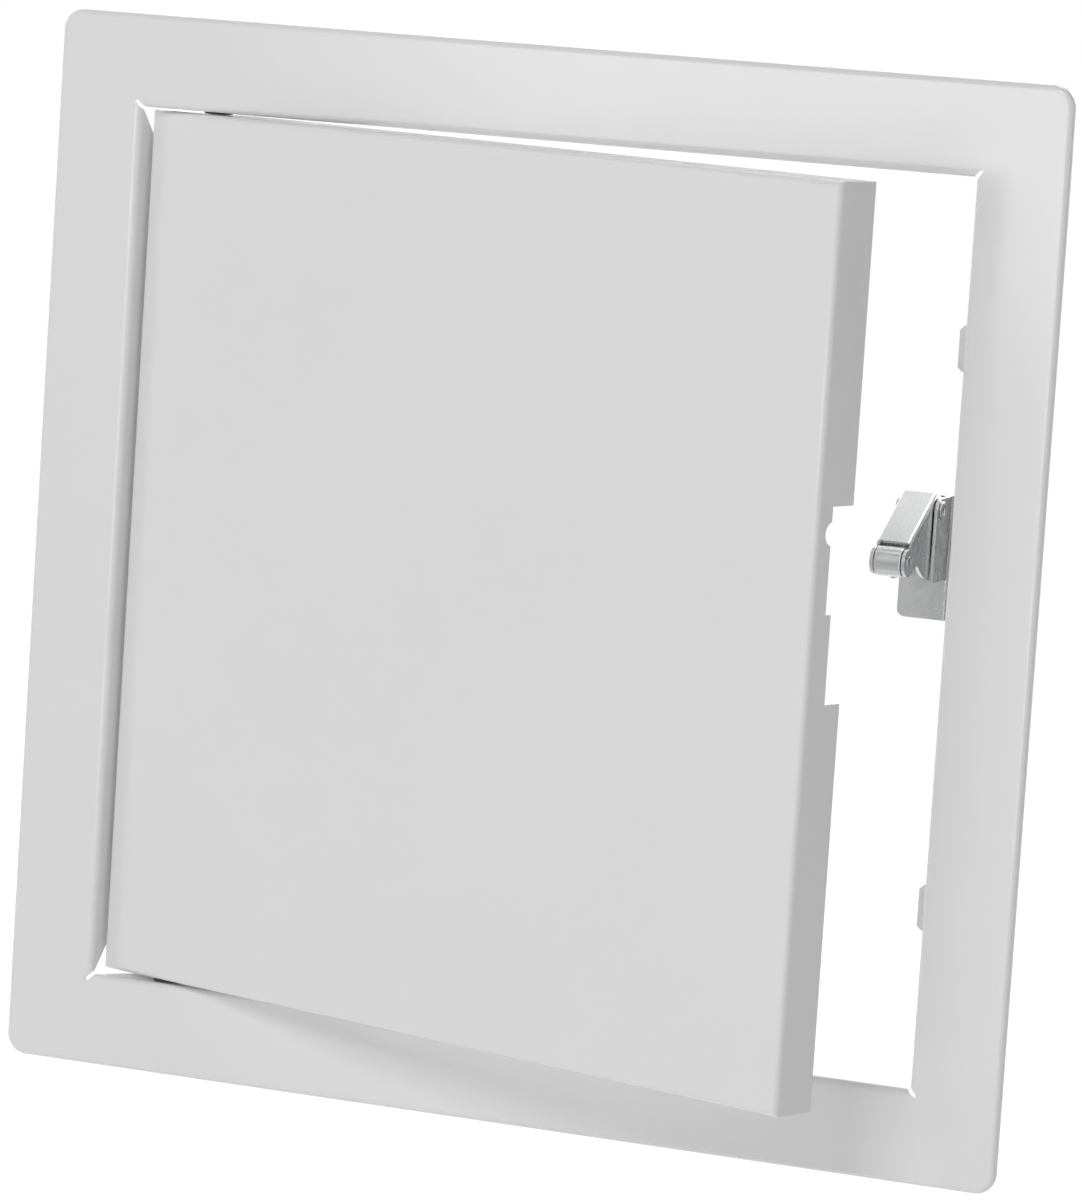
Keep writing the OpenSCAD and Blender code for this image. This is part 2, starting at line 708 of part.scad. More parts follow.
// The plate's side view between two heights
module plate_side(z0, z1) {
    translate([door_inner_y, z0]) square([bracket_sheet, z1 - z0]);
}

module hinge_bracket_top() {
    foot = ear_low - bracket_sheet;
    color("silver") hung() hinge_bracket(pin_d / 2 + running_clear, [for (i = [0, 1]) studs[i]]) {
        bent_ear(ear_top, 1);
        bent_ear(foot, -1);
        plate_side(foot + bracket_bend_r, ear_top - bracket_bend_r);
    }
}

module hinge_bracket_bottom() {
    foot = lower_ear - bracket_sheet;
    color("silver") hung() hinge_bracket(pin_d / 2 + seat_clear, [for (i = [2, 3]) studs[i]]) {
        bent_ear(foot, -1);
        plate_side(foot + bracket_bend_r, foot + lower_bracket_h);
    }
}

// The fixed lower pin, headed over above its ear
module hinge_pin_bottom() {
    color("lightgray") hung() translate([pivot_x, pivot_y, 0]) {
        bar_z(pin_d / 2, pin_chamfer - pin_tip, lower_ear);
        translate([0, 0, -pin_tip]) cylinder(r1 = pin_d / 2 - pin_chamfer, r2 = pin_d / 2, h = pin_chamfer);
        bar_z(collar_d / 2, lower_ear, lower_ear + lower_head_h);
    }
}

// The sprung upper pin with its collar
module hinge_pin_top() {
    foot = knob_top - knob_bore_depth;
    color("lightgray") hung() translate([pivot_x, pivot_y, 0]) {
        bar_z(pin_d / 2, foot, pin_tip - pin_chamfer);
        translate([0, 0, pin_tip - pin_chamfer])
            cylinder(r1 = pin_d / 2, r2 = pin_d / 2 - pin_chamfer, h = pin_chamfer);
        bar_z(collar_d / 2, collar_top - collar_t, collar_top);
    }
}

// A waisted pull knob pressed on the upper pin's lower end
module hinge_pin_knob() {
    r = knob_d / 2;
    bore_r = pin_d / 2 + seat_clear;
    waist = bore_r + (r - bore_r) / 2;
    color("dimgray") hung() translate([pivot_x, pivot_y, knob_top - knob_h]) rotate_extrude() polygon([
        [0, 0], [r, 0], [r, knob_h * knob_shares[0]], [waist, knob_h * knob_shares[1]],
        [waist, knob_h * knob_shares[2]], [r, knob_h * knob_shares[3]], [r, knob_h], [bore_r, knob_h],
        [bore_r, knob_h - knob_bore_depth], [0, knob_h - knob_bore_depth]
    ]);
}

module hinge_pin_spring() {
    steps = spring_steps * pin_spring_turns;
    rise = pin_spring_high - pin_spring_low;
    coil = [for (i = [0:steps]) let (a = 360 * i / spring_steps)
        [pin_coil_r * cos(a), pin_coil_r * sin(a), pin_spring_low + rise * i / steps]];
    color("darkgray") hung() translate([pivot_x, pivot_y, 0]) wire(coil, pin_wire_d / 2, [0, 0, 1]);
}

// Strike: a foot on the door's inside, a tongue that passes under the lever and an upturned lip
module strike_bracket() {
    foot_z = strike_z - bracket_sheet - strike_foot_h;
    gusset = strike_foot_h / 2;
    color("silver") hung() difference() {
        union() {
            translate([strike_x - strike_foot_w / 2, door_inner_y, foot_z])
                cube([strike_foot_w, bracket_sheet, strike_foot_h + bracket_sheet]);
            translate([strike_x - strike_w / 2, door_inner_y, strike_z - bracket_sheet])
                cube([strike_w, lip_y + bracket_sheet - door_inner_y, bracket_sheet]);
            translate([strike_x - strike_w / 2, lip_y, strike_z - bracket_sheet])
                cube([strike_w, bracket_sheet, strike_lip_h + bracket_sheet]);
            side_plate(strike_x - strike_foot_w / 2, bracket_sheet) polygon([
                [door_inner_y, strike_z - gusset], [door_inner_y + gusset, strike_z], [door_inner_y, strike_z]
            ]);
        }
        stud_holes([for (i = [4, 5]) studs[i]]);
    }
}

module weld_studs() {
    color("goldenrod") hung() for (s = studs) translate([s[0], 0, s[1]])
        bar_y(stud_d / 2, door_inner_y, door_inner_y + stud_len);
}

module stud_nuts() {
    color("lightgray") hung() for (s = studs) translate([s[0], 0, s[1]]) difference() {
        translate([0, plate_y + nut_h, 0]) rotate([90, 0, 0])
            cylinder(d = nut_af / cos(30), h = nut_h, $fn = 6);
        bar_y(stud_d / 2 + seat_clear, plate_y - nut_h, plate_y + 2 * nut_h);
    }
}

frame();
hinge_bush_top();
hinge_bush_bottom();
latch_bracket();
latch_bracket_rivets();
latch_base();
latch_base_rivets();
latch_pivot_pin();
latch_torsion_spring();
latch_lever();
latch_roller_axle();
latch_roller();
door_pan();
hinge_bracket_top();
hinge_bracket_bottom();
hinge_pin_bottom();
strike_bracket();
weld_studs();
stud_nuts();
hinge_pin_top();
hinge_pin_knob();
hinge_pin_spring();
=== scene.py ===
import json
import math

import bmesh
import bpy
from mathutils import Matrix, Vector
from mathutils.geometry import delaunay_2d_cdt


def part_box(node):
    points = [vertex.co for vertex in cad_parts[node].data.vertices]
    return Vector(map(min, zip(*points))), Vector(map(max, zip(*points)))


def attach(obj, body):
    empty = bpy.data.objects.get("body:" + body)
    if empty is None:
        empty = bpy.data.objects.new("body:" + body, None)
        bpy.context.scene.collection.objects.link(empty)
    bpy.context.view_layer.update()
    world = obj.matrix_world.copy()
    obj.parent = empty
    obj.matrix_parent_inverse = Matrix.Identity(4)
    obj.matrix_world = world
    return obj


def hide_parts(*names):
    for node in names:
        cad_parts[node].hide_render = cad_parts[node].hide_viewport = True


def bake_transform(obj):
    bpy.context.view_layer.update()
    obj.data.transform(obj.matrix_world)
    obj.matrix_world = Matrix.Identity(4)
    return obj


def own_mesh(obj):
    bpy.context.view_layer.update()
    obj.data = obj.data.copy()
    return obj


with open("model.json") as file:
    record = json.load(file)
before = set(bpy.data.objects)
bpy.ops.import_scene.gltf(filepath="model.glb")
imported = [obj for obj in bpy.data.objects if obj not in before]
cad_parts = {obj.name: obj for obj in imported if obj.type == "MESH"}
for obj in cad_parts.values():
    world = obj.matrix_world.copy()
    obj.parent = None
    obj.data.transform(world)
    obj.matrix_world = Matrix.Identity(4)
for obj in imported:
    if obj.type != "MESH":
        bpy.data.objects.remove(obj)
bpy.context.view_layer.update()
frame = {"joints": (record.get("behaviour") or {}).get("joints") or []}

# Everything below is drawn in millimetres and scaled once, when a piece is finished
mm = 0.001
toMetres = Matrix.Scale(mm, 4)


def boxOf(node):
    return [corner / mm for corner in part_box(node)]


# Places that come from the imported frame
joints = {j["name"]: j for j in frame["joints"]}
hingeSpot = Vector(joints["door_hinge"]["pos_m"]) / mm
openAngle = math.radians(-joints["door_hinge"]["range_deg"][0])
leverSpot = Vector(joints["latch_lever_pivot"]["pos_m"]) / mm
rollerSpot = Vector(joints["latch_roller_spin"]["pos_m"]) / mm
leverTravel = math.radians(joints["latch_lever_pivot"]["range_deg"][1])
frameLow, frameHigh = boxOf("frame")
frontY, backY = frameLow.y, frameHigh.y

# The door's pieces are drawn shut and then swung open about the hinge
hung = Matrix.Translation(hingeSpot) @ Matrix.Rotation(-openAngle, 4, "Z") @ Matrix.Translation(-hingeSpot)

# The lever's side view: u along its arm, v to the front, w across
armWay = (rollerSpot - leverSpot).normalized()
armLength = (rollerSpot - leverSpot).length
sideWay = Vector((1, 0, 0))
webWay = armWay.cross(sideWay)
leverPlace = Matrix.Translation(leverSpot) @ Matrix((armWay, webWay, sideWay)).transposed().to_4x4()


# Colour and shader helpers
def linearColour(code):
    parts = [int(code[i:i + 2], 16) / 255 for i in (1, 3, 5)]
    return tuple(c / 12.92 if c <= 0.04045 else ((c + 0.055) / 1.055) ** 2.4 for c in parts) + (1.0,)


def addNode(tree, kind, sockets=None, **settings):
    node = tree.nodes.new(kind)
    for name, value in settings.items():
        setattr(node, name, value)
    for key, value in (sockets or {}).items():
        if isinstance(value, bpy.types.NodeSocket):
            tree.links.new(value, node.inputs[key])
        else:
            node.inputs[key].default_value = value
    return node


def startMaterial(name, sockets):
    material = bpy.data.materials.new(name)
    material.use_nodes = True
    tree = material.node_tree
    tree.nodes.clear()
    shader = addNode(tree, "ShaderNodeBsdfPrincipled", sockets)
    addNode(tree, "ShaderNodeOutputMaterial", {"Surface": shader.outputs["BSDF"]})
    spot = addNode(tree, "ShaderNodeTexCoord").outputs["Object"]
    return material, tree, shader, spot


def dress(tree, shader, look, patches, shine, relief):  # patchy colour and gloss over a fine relief
    first, second = (linearColour(code) for code in look["colours"])
    low, high = look["gloss"]
    colour = addNode(tree, "ShaderNodeMix", {0: patches, 6: first, 7: second}, data_type="RGBA")
    rough = addNode(tree, "ShaderNodeMapRange", {"Value": shine, "To Min": low, "To Max": high})
    bump = addNode(tree, "ShaderNodeBump", {"Height": relief, "Strength": look["bump"],
                                            "Distance": look["reliefMm"] * mm})
    tree.links.new(colour.outputs[2], shader.inputs["Base Color"])
    tree.links.new(rough.outputs["Result"], shader.inputs["Roughness"])
    tree.links.new(bump.outputs["Normal"], shader.inputs["Normal"])


# Polyester powder coat over zinc-coated sheet, sprayed and baked: satin white with a soft orange peel
coatLook = {"colours": ("#e8e8e8", "#e4e4e4"), "gloss": (0.13, 0.19), "cloudMm": 70, "peelMm": 1.4,
            "reliefMm": 0.012, "bump": 0.6}


def powderCoatedSteel(look):
    material, tree, shader, spot = startMaterial("powder_coated_steel_satin_white", {"IOR": 1.5})
    cloud = addNode(tree, "ShaderNodeTexNoise", {"Vector": spot, "Scale": 1 / (look["cloudMm"] * mm),
                                                 "Detail": 2.0}).outputs["Fac"]
    peel = addNode(tree, "ShaderNodeTexNoise", {"Vector": spot, "Scale": 1 / (look["peelMm"] * mm),
                                                "Detail": 1.5}).outputs["Fac"]
    dress(tree, shader, look, cloud, cloud, peel)
    return material


# Nickel-chrome plate on rolled strip: soft bright, with faint rolling lines and handling haze
chromeLook = {"colours": ("#dcdcdd", "#c9caca"), "gloss": (0.2, 0.34), "hazeMm": 6, "lineMm": 0.5,
              "lineStretch": 0.05, "reliefMm": 0.004, "bump": 0.5}


def chromedSteel(look):
    material, tree, shader, spot = startMaterial("chrome_plated_steel_strip", {"Metallic": 1.0})
    haze = addNode(tree, "ShaderNodeTexNoise", {"Vector": spot, "Scale": 1 / (look["hazeMm"] * mm),
                                                "Detail": 4.0}).outputs["Fac"]
    drawn = addNode(tree, "ShaderNodeMapping", {"Vector": spot, "Scale": (1, 1, look["lineStretch"])})
    lines = addNode(tree, "ShaderNodeTexNoise", {"Vector": drawn.outputs["Vector"],
                                                 "Scale": 1 / (look["lineMm"] * mm), "Detail": 2.0})
    dress(tree, shader, look, haze, haze, lines.outputs["Fac"])
    return material


# Bright zinc with a clear passivate: cool grey, faintly mottled by the plating's crystals
zincLook = {"colours": ("#c3c6c9", "#a9adb1"), "gloss": (0.28, 0.46), "crystalMm": 1.8, "cloudMm": 12,
            "grainMm": 0.35, "reliefMm": 0.004, "bump": 0.5}


def zincPlatedSteel(look):
    material, tree, shader, spot = startMaterial("zinc_plated_steel_clear_passivate", {"Metallic": 1.0})
    crystal = addNode(tree, "ShaderNodeTexVoronoi", {"Vector": spot, "Scale": 1 / (look["crystalMm"] * mm)})
    cloud = addNode(tree, "ShaderNodeTexNoise", {"Vector": spot, "Scale": 1 / (look["cloudMm"] * mm),
                                                 "Detail": 4.0}).outputs["Fac"]
    grain = addNode(tree, "ShaderNodeTexNoise", {"Vector": spot, "Scale": 1 / (look["grainMm"] * mm)})
    both = addNode(tree, "ShaderNodeMath", {0: crystal.outputs["Distance"], 1: cloud}, operation="MULTIPLY")
    dress(tree, shader, look, both.outputs["Value"], cloud, grain.outputs["Fac"])
    return material


def cloudedFinish(name, look, sockets, detail):  # cloudy colour and gloss, with one even grain
    material, tree, shader, spot = startMaterial(name, sockets)
    cloud = addNode(tree, "ShaderNodeTexNoise", {"Vector": spot, "Scale": 1 / (look["cloudMm"] * mm),
                                                 "Detail": detail}).outputs["Fac"]
    grain = addNode(tree, "ShaderNodeTexNoise", {"Vector": spot, "Scale": 1 / (look["grainMm"] * mm)})
    dress(tree, shader, look, cloud, cloud, grain.outputs["Fac"])
    return material


# Black polyamide, injection moulded: matt, with the fine texture of a spark-eroded tool
nylonLook = {"colours": ("#17181a", "#242528"), "gloss": (0.45, 0.6), "cloudMm": 4, "grainMm": 0.25,
             "reliefMm": 0.02, "bump": 0.6}

# Patented spring wire, drawn and oiled: dark grey with fine drawing marks
springLook = {"colours": ("#8d8e91", "#6b6c70"), "gloss": (0.24, 0.4), "cloudMm": 2.5, "grainMm": 0.12,
              "reliefMm": 0.004, "bump": 0.5}

# Copper-flashed weld studs: a thin bright copper skin, dulled in patches by the welding heat
copperLook = {"colours": ("#c98a63", "#8e5f47"), "gloss": (0.25, 0.5), "cloudMm": 3, "grainMm": 0.3,
              "reliefMm": 0.004, "bump": 0.5}

finishes = {  # one for each material slot of the record
    "powder_coat": powderCoatedSteel(coatLook),
    "chrome": chromedSteel(chromeLook),
    "zinc": zincPlatedSteel(zincLook),
    "black_nylon": cloudedFinish("polyamide_moulded_black", nylonLook, {"IOR": 1.53}, 3.0),
    "spring_steel": cloudedFinish("spring_steel_drawn_wire", springLook, {"Metallic": 1.0}, 3.0),
    "copper_flash": cloudedFinish("copper_flashed_steel_stud", copperLook, {"Metallic": 1.0}, 4.0),
}
print("finishes made:", len(finishes))

# Shape helpers
smoothAngle = math.radians(50)  # edges sharper than this stay crisp
flatEnough = 0.99  # cosine at which a face counts as turned to a direction
mergeGap = 1e-4
drawGap = 1e-6
bendSteps = 8


def arc(x, y, r, start, end, steps):
    angles = [math.radians(start + (end - start) * i / steps) for i in range(steps + 1)]
    return [(x + r * math.cos(a), y + r * math.sin(a)) for a in angles]


def roundHole(x, y, r, steps=32):
    return arc(x, y, r, 0, 360, steps)[:-1]


def quarter(steps=bendSteps):
    return [math.pi / 2 * i / steps for i in range(steps + 1)]


# A flat sheet with convex holes, drawn in two dimensions and put in place
def panel(bm, outline, holes, place):
    points, edges, loops = [], [], []
    for k, loop in enumerate([outline] + holes):
        first = len(points)
        points += [Vector(p) for p in loop]
        loops += [k] * len(loop)
        edges += [(first + i, first + (i + 1) % len(loop)) for i in range(len(loop))]
    insideOutline = 1
    spots, _, faces, *_ = delaunay_2d_cdt(points, edges, [], insideOutline, drawGap)
    verts = [bm.verts.new(place(*p)) for p in spots]
    for face in faces:
        touched = {loops[i] for i in face}
        if len(touched) > 1 or touched == {0}:  # a face with all corners on one hole lies in that hole
            bm.faces.new([verts[i] for i in face])


def strip(bm, rows, closed=False):  # quads between rows of points
    grid = [[bm.verts.new(p) for p in row] for row in rows]
    count = len(grid[0])
    for near, far in zip(grid, grid[1:]):
        for i in range(count if closed else count - 1):
            k = (i + 1) % count
            bm.faces.new((near[i], near[k], far[k], far[i]))


def turned(bm, profile, place=Matrix(), steps=48, rim=None):  # a lathe: points are radius and height
    def at(r, h, i):
        a = 2 * math.pi * i / steps
        grow = rim(r, h, a) if rim else 0
        return place @ Vector(((r + grow) * math.cos(a), (r + grow) * math.sin(a), h))
    strip(bm, [[at(r, h, i) for i in range(steps)] for r, h in profile], closed=True)


def along(spot, way):  # stands a lathe's axis along a direction
    return Matrix.Translation(spot) @ Vector(way).to_track_quat("Z", "Y").to_matrix().to_4x4()


def applied(thing):  # the evaluated object as a plain mesh
    bpy.context.view_layer.update()
    seen = thing.evaluated_get(bpy.context.evaluated_depsgraph_get())
    mesh = bpy.data.meshes.new_from_object(seen)
    thing.modifiers.clear()
    return mesh


def finishPiece(name, mesh, body, slot, node):
    mesh.name = name
    mesh.materials.clear()
    mesh.materials.append(finishes[slot])
    for face in mesh.polygons:
        face.use_smooth = True
    piece = bpy.data.objects.new(name, mesh)
    bpy.context.scene.collection.objects.link(piece)
    if body:  # a piece that bends between two bodies has none of its own
        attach(piece, body)
    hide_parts(node)
    return piece


def closeSeams(bm):
    bmesh.ops.remove_doubles(bm, verts=bm.verts, dist=mergeGap)
    bmesh.ops.recalc_face_normals(bm, faces=bm.faces)


def draft(name, bm):  # an object that modifiers can work on
    mesh = bpy.data.meshes.new(name)
    bm.to_mesh(mesh)
    bm.free()
    for face in mesh.polygons:
        face.use_smooth = True
    thing = bpy.data.objects.new(name, mesh)
    bpy.context.scene.collection.objects.link(thing)
    return thing


def softenEdges(thing, width):
    if width:
        soften = thing.modifiers.new("soften", "BEVEL")
        soften.width = width
        soften.segments = 3
        soften.limit_method = "ANGLE"
        soften.angle_limit = smoothAngle
        soften.use_clamp_overlap = True
        soften.loop_slide = False
    thing.modifiers.new("flats", "WEIGHTED_NORMAL").keep_sharp = True


def solidPiece(name, bm, body, slot, node, edge, place=Matrix(), sheet=0.0, front=None):
    closeSeams(bm)
    if sheet:  # an open sheet shows the side that its largest face turns to front
        way = Vector(front)
        facing = [f for f in bm.faces if abs(f.normal.dot(way)) > flatEnough]
        if max(facing, key=lambda f: f.calc_area()).normal.dot(way) < 0:
            bmesh.ops.reverse_faces(bm, faces=bm.faces)
    bmesh.ops.transform(bm, matrix=toMetres @ place, verts=bm.verts)
    if place.determinant() < 0:
        bmesh.ops.reverse_faces(bm, faces=bm.faces)
    bm.normal_update()
    thing = draft(name + "_rough", bm)
    if sheet:
        wall = thing.modifiers.new("wall", "SOLIDIFY")
        wall.thickness = sheet * mm
        wall.offset = -1
        wall.use_even_offset = True
        wall.use_quality_normals = True
    softenEdges(thing, edge * mm)
    mesh = applied(thing)
    bpy.data.objects.remove(thing)
    return finishPiece(name, mesh, body, slot, node)


# Frame: one folded pressing with a flat flange, a turned-back rim and four flaps
panelFrame = {"opening": 294.2, "sheet": 1.2, "cornerR": 7.0, "cornerSteps": 12, "rimBend": 2.0,
              "rimDepth": 2.6, "flapBend": 2.3, "slit": 1.1, "edge": 0.18}
screwHoles = {"diameter": 4.5, "spacing": 130.0, "inset": 10.0}
stopTabs = {"width": 15.0, "reach": 8.3, "spacing": 182.0, "depth": 20.2, "chamfer": 1.5, "bend": 0.6}
bush = {"pin": 5.0, "play": 0.05, "wall": 1.2, "seat": 0.02, "flange": 1.0, "edge": 0.2}
halfOpen = panelFrame["opening"] / 2
bushR = bush["pin"] / 2 + bush["play"] + bush["wall"]
bracketLow, bracketHigh = boxOf("latch_bracket")
rivetLow, rivetHigh = boxOf("latch_bracket_rivets")
bracketRivets = {"headD": 6.0, "headH": 1.1, "shank": 3.2, "tailD": 4.8, "tailH": 1.0, "mandrel": 1.7,
                 "edge": 0.12, "frontLow": 16.6}
rivetR = bracketRivets["headD"] / 2
rivetTop, rivetBase = rivetHigh.z - rivetR, rivetLow.z + rivetR
rivetSpots = [  # depth and height of each rivet through the latch-side flap
    (rivetLow.y + rivetR, rivetTop), (frontY + bracketRivets["frontLow"], rivetBase),
    (rivetHigh.y - rivetR, rivetTop), (rivetHigh.y - rivetR, rivetBase),
]


def makeFrame():
    s, t = panelFrame, stopTabs
    bm = bmesh.new()
    flat = frameHigh.x - s["rimBend"]
    cornerR = s["cornerR"] - s["rimBend"]
    ring = []  # the flange's flat outline, with its outward direction
    for k, (sx, sz) in enumerate(((1, 1), (-1, 1), (-1, -1), (1, -1))):
        for i in range(s["cornerSteps"] + 1):
            a = math.radians(90 * k + 90 * i / s["cornerSteps"])
            way = Vector((math.cos(a), 0, math.sin(a)))
            ring.append((Vector((sx, 0, sz)) * (flat - cornerR) + way * cornerR, way))
    inner, cut = halfOpen + s["flapBend"], s["slit"] / math.sqrt(2)
    notch = [(inner, inner - cut), (inner, inner), (inner - cut, inner)]
    throat = []
    for k in range(4):
        throat += notch
        notch = [(-z, x) for x, z in notch]
    panel(bm, [(p.x, p.z) for p, _ in ring], [throat], lambda x, z: (x, frontY, z))
    rows = [[p + way * s["rimBend"] * math.sin(a) + Vector((0, frontY + s["rimBend"] * (1 - math.cos(a)), 0))
             for p, way in ring] for a in quarter()]
    rows.append([p + way * s["rimBend"] + Vector((0, frontY + s["rimDepth"], 0)) for p, way in ring])
    strip(bm, rows, closed=True)
    screwY, screwHalf = backY - screwHoles["inset"], screwHoles["spacing"] / 2
    startY = frontY + s["flapBend"]
    half = halfOpen - cut
    run = backY - startY
    for side in range(4):  # right, bottom, left, top
        turn = Matrix.Rotation(math.pi / 2 * side, 4, "Y")
        bend = [(halfOpen + s["flapBend"] * (1 - math.sin(a)), frontY + s["flapBend"] * (1 - math.cos(a)))
                for a in quarter()]
        strip(bm, [[turn @ Vector((d, y, u * (d - cut))) for u in (-1, 1)] for d, y in bend])
        holes = [roundHole(u, screwY, screwHoles["diameter"] / 2) for u in (-screwHalf, screwHalf)]
        if side % 2:
            holes.append(roundHole(hingeSpot.x * (2 - side), hingeSpot.y, bushR + bush["seat"], 40))
        if side == 0:
            holes += [roundHole(z, y, bracketRivets["shank"] / 2 + bush["seat"], 24) for y, z in rivetSpots]
            holes += [[(z + u, y) for u, y in tabWindow(t)] for z in tabPlaces(t)]
        outline = [(-half, startY), (half, startY), (half - run, backY), (run - half, backY)]
        panel(bm, outline, holes, lambda u, y: turn @ Vector((halfOpen, y, u)))
    for z in tabPlaces(t):
        addTab(bm, t, z)
    return solidPiece("access_frame", bm, "frame", "powder_coat", "frame", s["edge"], Matrix(), s["sheet"],
                      (0, -1, 0))


def tabPlaces(t):
    return (-t["spacing"] / 2, t["spacing"] / 2)


def tabWindow(t):  # the slot that a stop tab is lanced from
    w, y = t["width"] / 2, frontY + t["depth"]
    return [(-w, y - t["bend"]), (w, y - t["bend"]), (w, y + panelFrame["sheet"] + t["reach"]),
            (-w, y + panelFrame["sheet"] + t["reach"])]


def addTab(bm, t, z):
    w, y, r, c = t["width"] / 2, frontY + t["depth"], t["bend"], t["chamfer"]
    tip = halfOpen - t["reach"]
    strip(bm, [[(halfOpen - r * (1 - math.cos(a)), y - r * (1 - math.sin(a)), z + u) for u in (-w, w)]
               for a in quarter()])
    outline = [(halfOpen - r, -w), (halfOpen - r, w), (tip + c, w), (tip, w - c), (tip, c - w), (tip + c, -w)]
    panel(bm, outline, [], lambda x, u: (x, y, z + u))


makeFrame()
print("frame made")

# Door: a folded pan whose latch side is notched to pass the latch
doorPan = {"left": -145.5, "right": 145.5, "top": 146.3, "bottom": -145.8, "depth": 18.2, "sheet": 1.0,
           "bend": 2.2, "edge": 0.18}
doorNotch = {"top": 45.7, "step": 11.9, "low": -16.4, "upperStrip": 7.9, "lowerStrip": 10.6, "biteR": 3.8,
             "biteInset": 0.9}


def makeDoor():
    s, n = doorPan, doorNotch
    bm = bmesh.new()
    r = s["bend"]
    x0, x1, z0, z1 = s["left"] + r, s["right"] - r, s["bottom"] + r, s["top"] - r
    panel(bm, [(x0, z0), (x1, z0), (x1, z1), (x0, z1)], [], lambda x, z: (x, frontY, z))
    rows = []
    for a in quarter():
        grow, y = r * math.sin(a), frontY + r * (1 - math.cos(a))
        rows.append([(x0 - grow, y, z0 - grow), (x1 + grow, y, z0 - grow), (x1 + grow, y, z1 + grow),
                     (x0 - grow, y, z1 + grow)])
    strip(bm, rows, closed=True)
    startY, endY = frontY + r, frontY + s["depth"]
    for z in (s["top"], s["bottom"]):
        pinHole = roundHole(hingeSpot.x, hingeSpot.y, bush["pin"] / 2 + bush["play"])
        outline = [(s["left"], startY), (s["right"], startY), (s["right"], endY), (s["left"], endY)]
        panel(bm, outline, [pinHole], lambda x, y: (x, y, z))
    panel(bm, [(startY, s["bottom"]), (endY, s["bottom"]), (endY, s["top"]), (startY, s["top"])], [],
          lambda y, z: (s["left"], y, z))
    upper, lower = frontY + n["upperStrip"], frontY + n["lowerStrip"]
    reach = math.degrees(math.acos(-n["biteInset"] / n["biteR"]))
    bite = arc(upper + n["biteInset"], rivetTop, n["biteR"], 360 - reach, reach, 18)
    outline = [(startY, s["bottom"]), (endY, s["bottom"]), (endY, n["low"]), (lower, n["low"]),
               (lower, n["step"]), (upper, n["step"])] + bite
    outline += [(upper, n["top"]), (endY, n["top"]), (endY, s["top"]), (startY, s["top"])]
    panel(bm, outline, [], lambda y, z: (s["right"], y, z))
    return solidPiece("door_skin", bm, "door", "powder_coat", "door_pan", s["edge"], hung, s["sheet"],
                      (0, -1, 0))


makeDoor()
print("door made")

# Latch bracket: a leg riveted to the flap, a rear leg and a stepped plate that carries the base
latchBracket = {"sheet": 1.2, "bend": 2.0, "plateWidth": 17.6, "plateLow": -0.2, "cornerR": 2.5, "edge": 0.15}
baseLow, baseHigh = boxOf("latch_base")
baseRivetLow, baseRivetHigh = boxOf("latch_base_rivets")
baseRivets = {"headD": 5.0, "headH": 0.8, "shank": 3.2, "tailD": 4.8, "tailH": 1.0, "mandrel": 1.5,
              "edge": 0.12}
baseRivetZ = [baseRivetLow.z + baseRivets["headD"] / 2, baseRivetHigh.z - baseRivets["headD"] / 2]
baseRivetHoles = [roundHole(leverSpot.x, z, baseRivets["shank"] / 2 + bush["seat"], 24) for z in baseRivetZ]


def makeLatchBracket():
    s = latchBracket
    bm = bmesh.new()
    t, r = s["sheet"], s["bend"]
    inner = r - t  # radius inside a bend
    legX, legY, legZ = halfOpen - t, bracketLow.y, (bracketLow.z, bracketHigh.z)
    rearY, plateY = bracketHigh.y - t, baseHigh.y
    stepX = bracketLow.x + s["plateWidth"]
    rivets = [roundHole(y, z, bracketRivets["shank"] / 2 + bush["seat"], 24) for y, z in rivetSpots]
    outline = [(legY, legZ[0]), (rearY - inner, legZ[0]), (rearY - inner, legZ[1]), (legY, legZ[1])]
    panel(bm, outline, rivets, lambda y, z: (legX, y, z))
    plan = arc(legX - inner, rearY - inner, inner, 0, 90, bendSteps)  # from the leg into the rear leg
    plan += [(stepX + inner, rearY)]
    strip(bm, [[(x, y, z) for z in legZ] for x, y in plan])
    plateZ = (s["plateLow"], baseHigh.z)
    step = arc(stepX + inner, rearY - inner, inner, 90, 180, bendSteps)
    step += arc(stepX - r, plateY + r, r, 0, -90, bendSteps)
    strip(bm, [[(x, y, z) for z in plateZ] for x, y in step])
    left, c = bracketLow.x, s["cornerR"]
    outline = [(stepX - r, plateZ[0]), (stepX - r, plateZ[1]), (left, plateZ[1])]
    outline += arc(left + c, plateZ[0] + c, c, 180, 270, 10)
    panel(bm, outline, baseRivetHoles, lambda x, z: (x, plateY, z))
    return solidPiece("latch_mounting_bracket", bm, "frame", "chrome", "latch_bracket", s["edge"], Matrix(),
                      t, (-1, 0, 0))


makeLatchBracket()

# Latch base: a U of strip whose cheeks carry the lever's pivot
latchBase = {"sheet": 1.2, "bend": 1.9, "earR": 3.9, "innerEarR": 2.8, "pinHoleR": 2.02, "edge": 0.15}


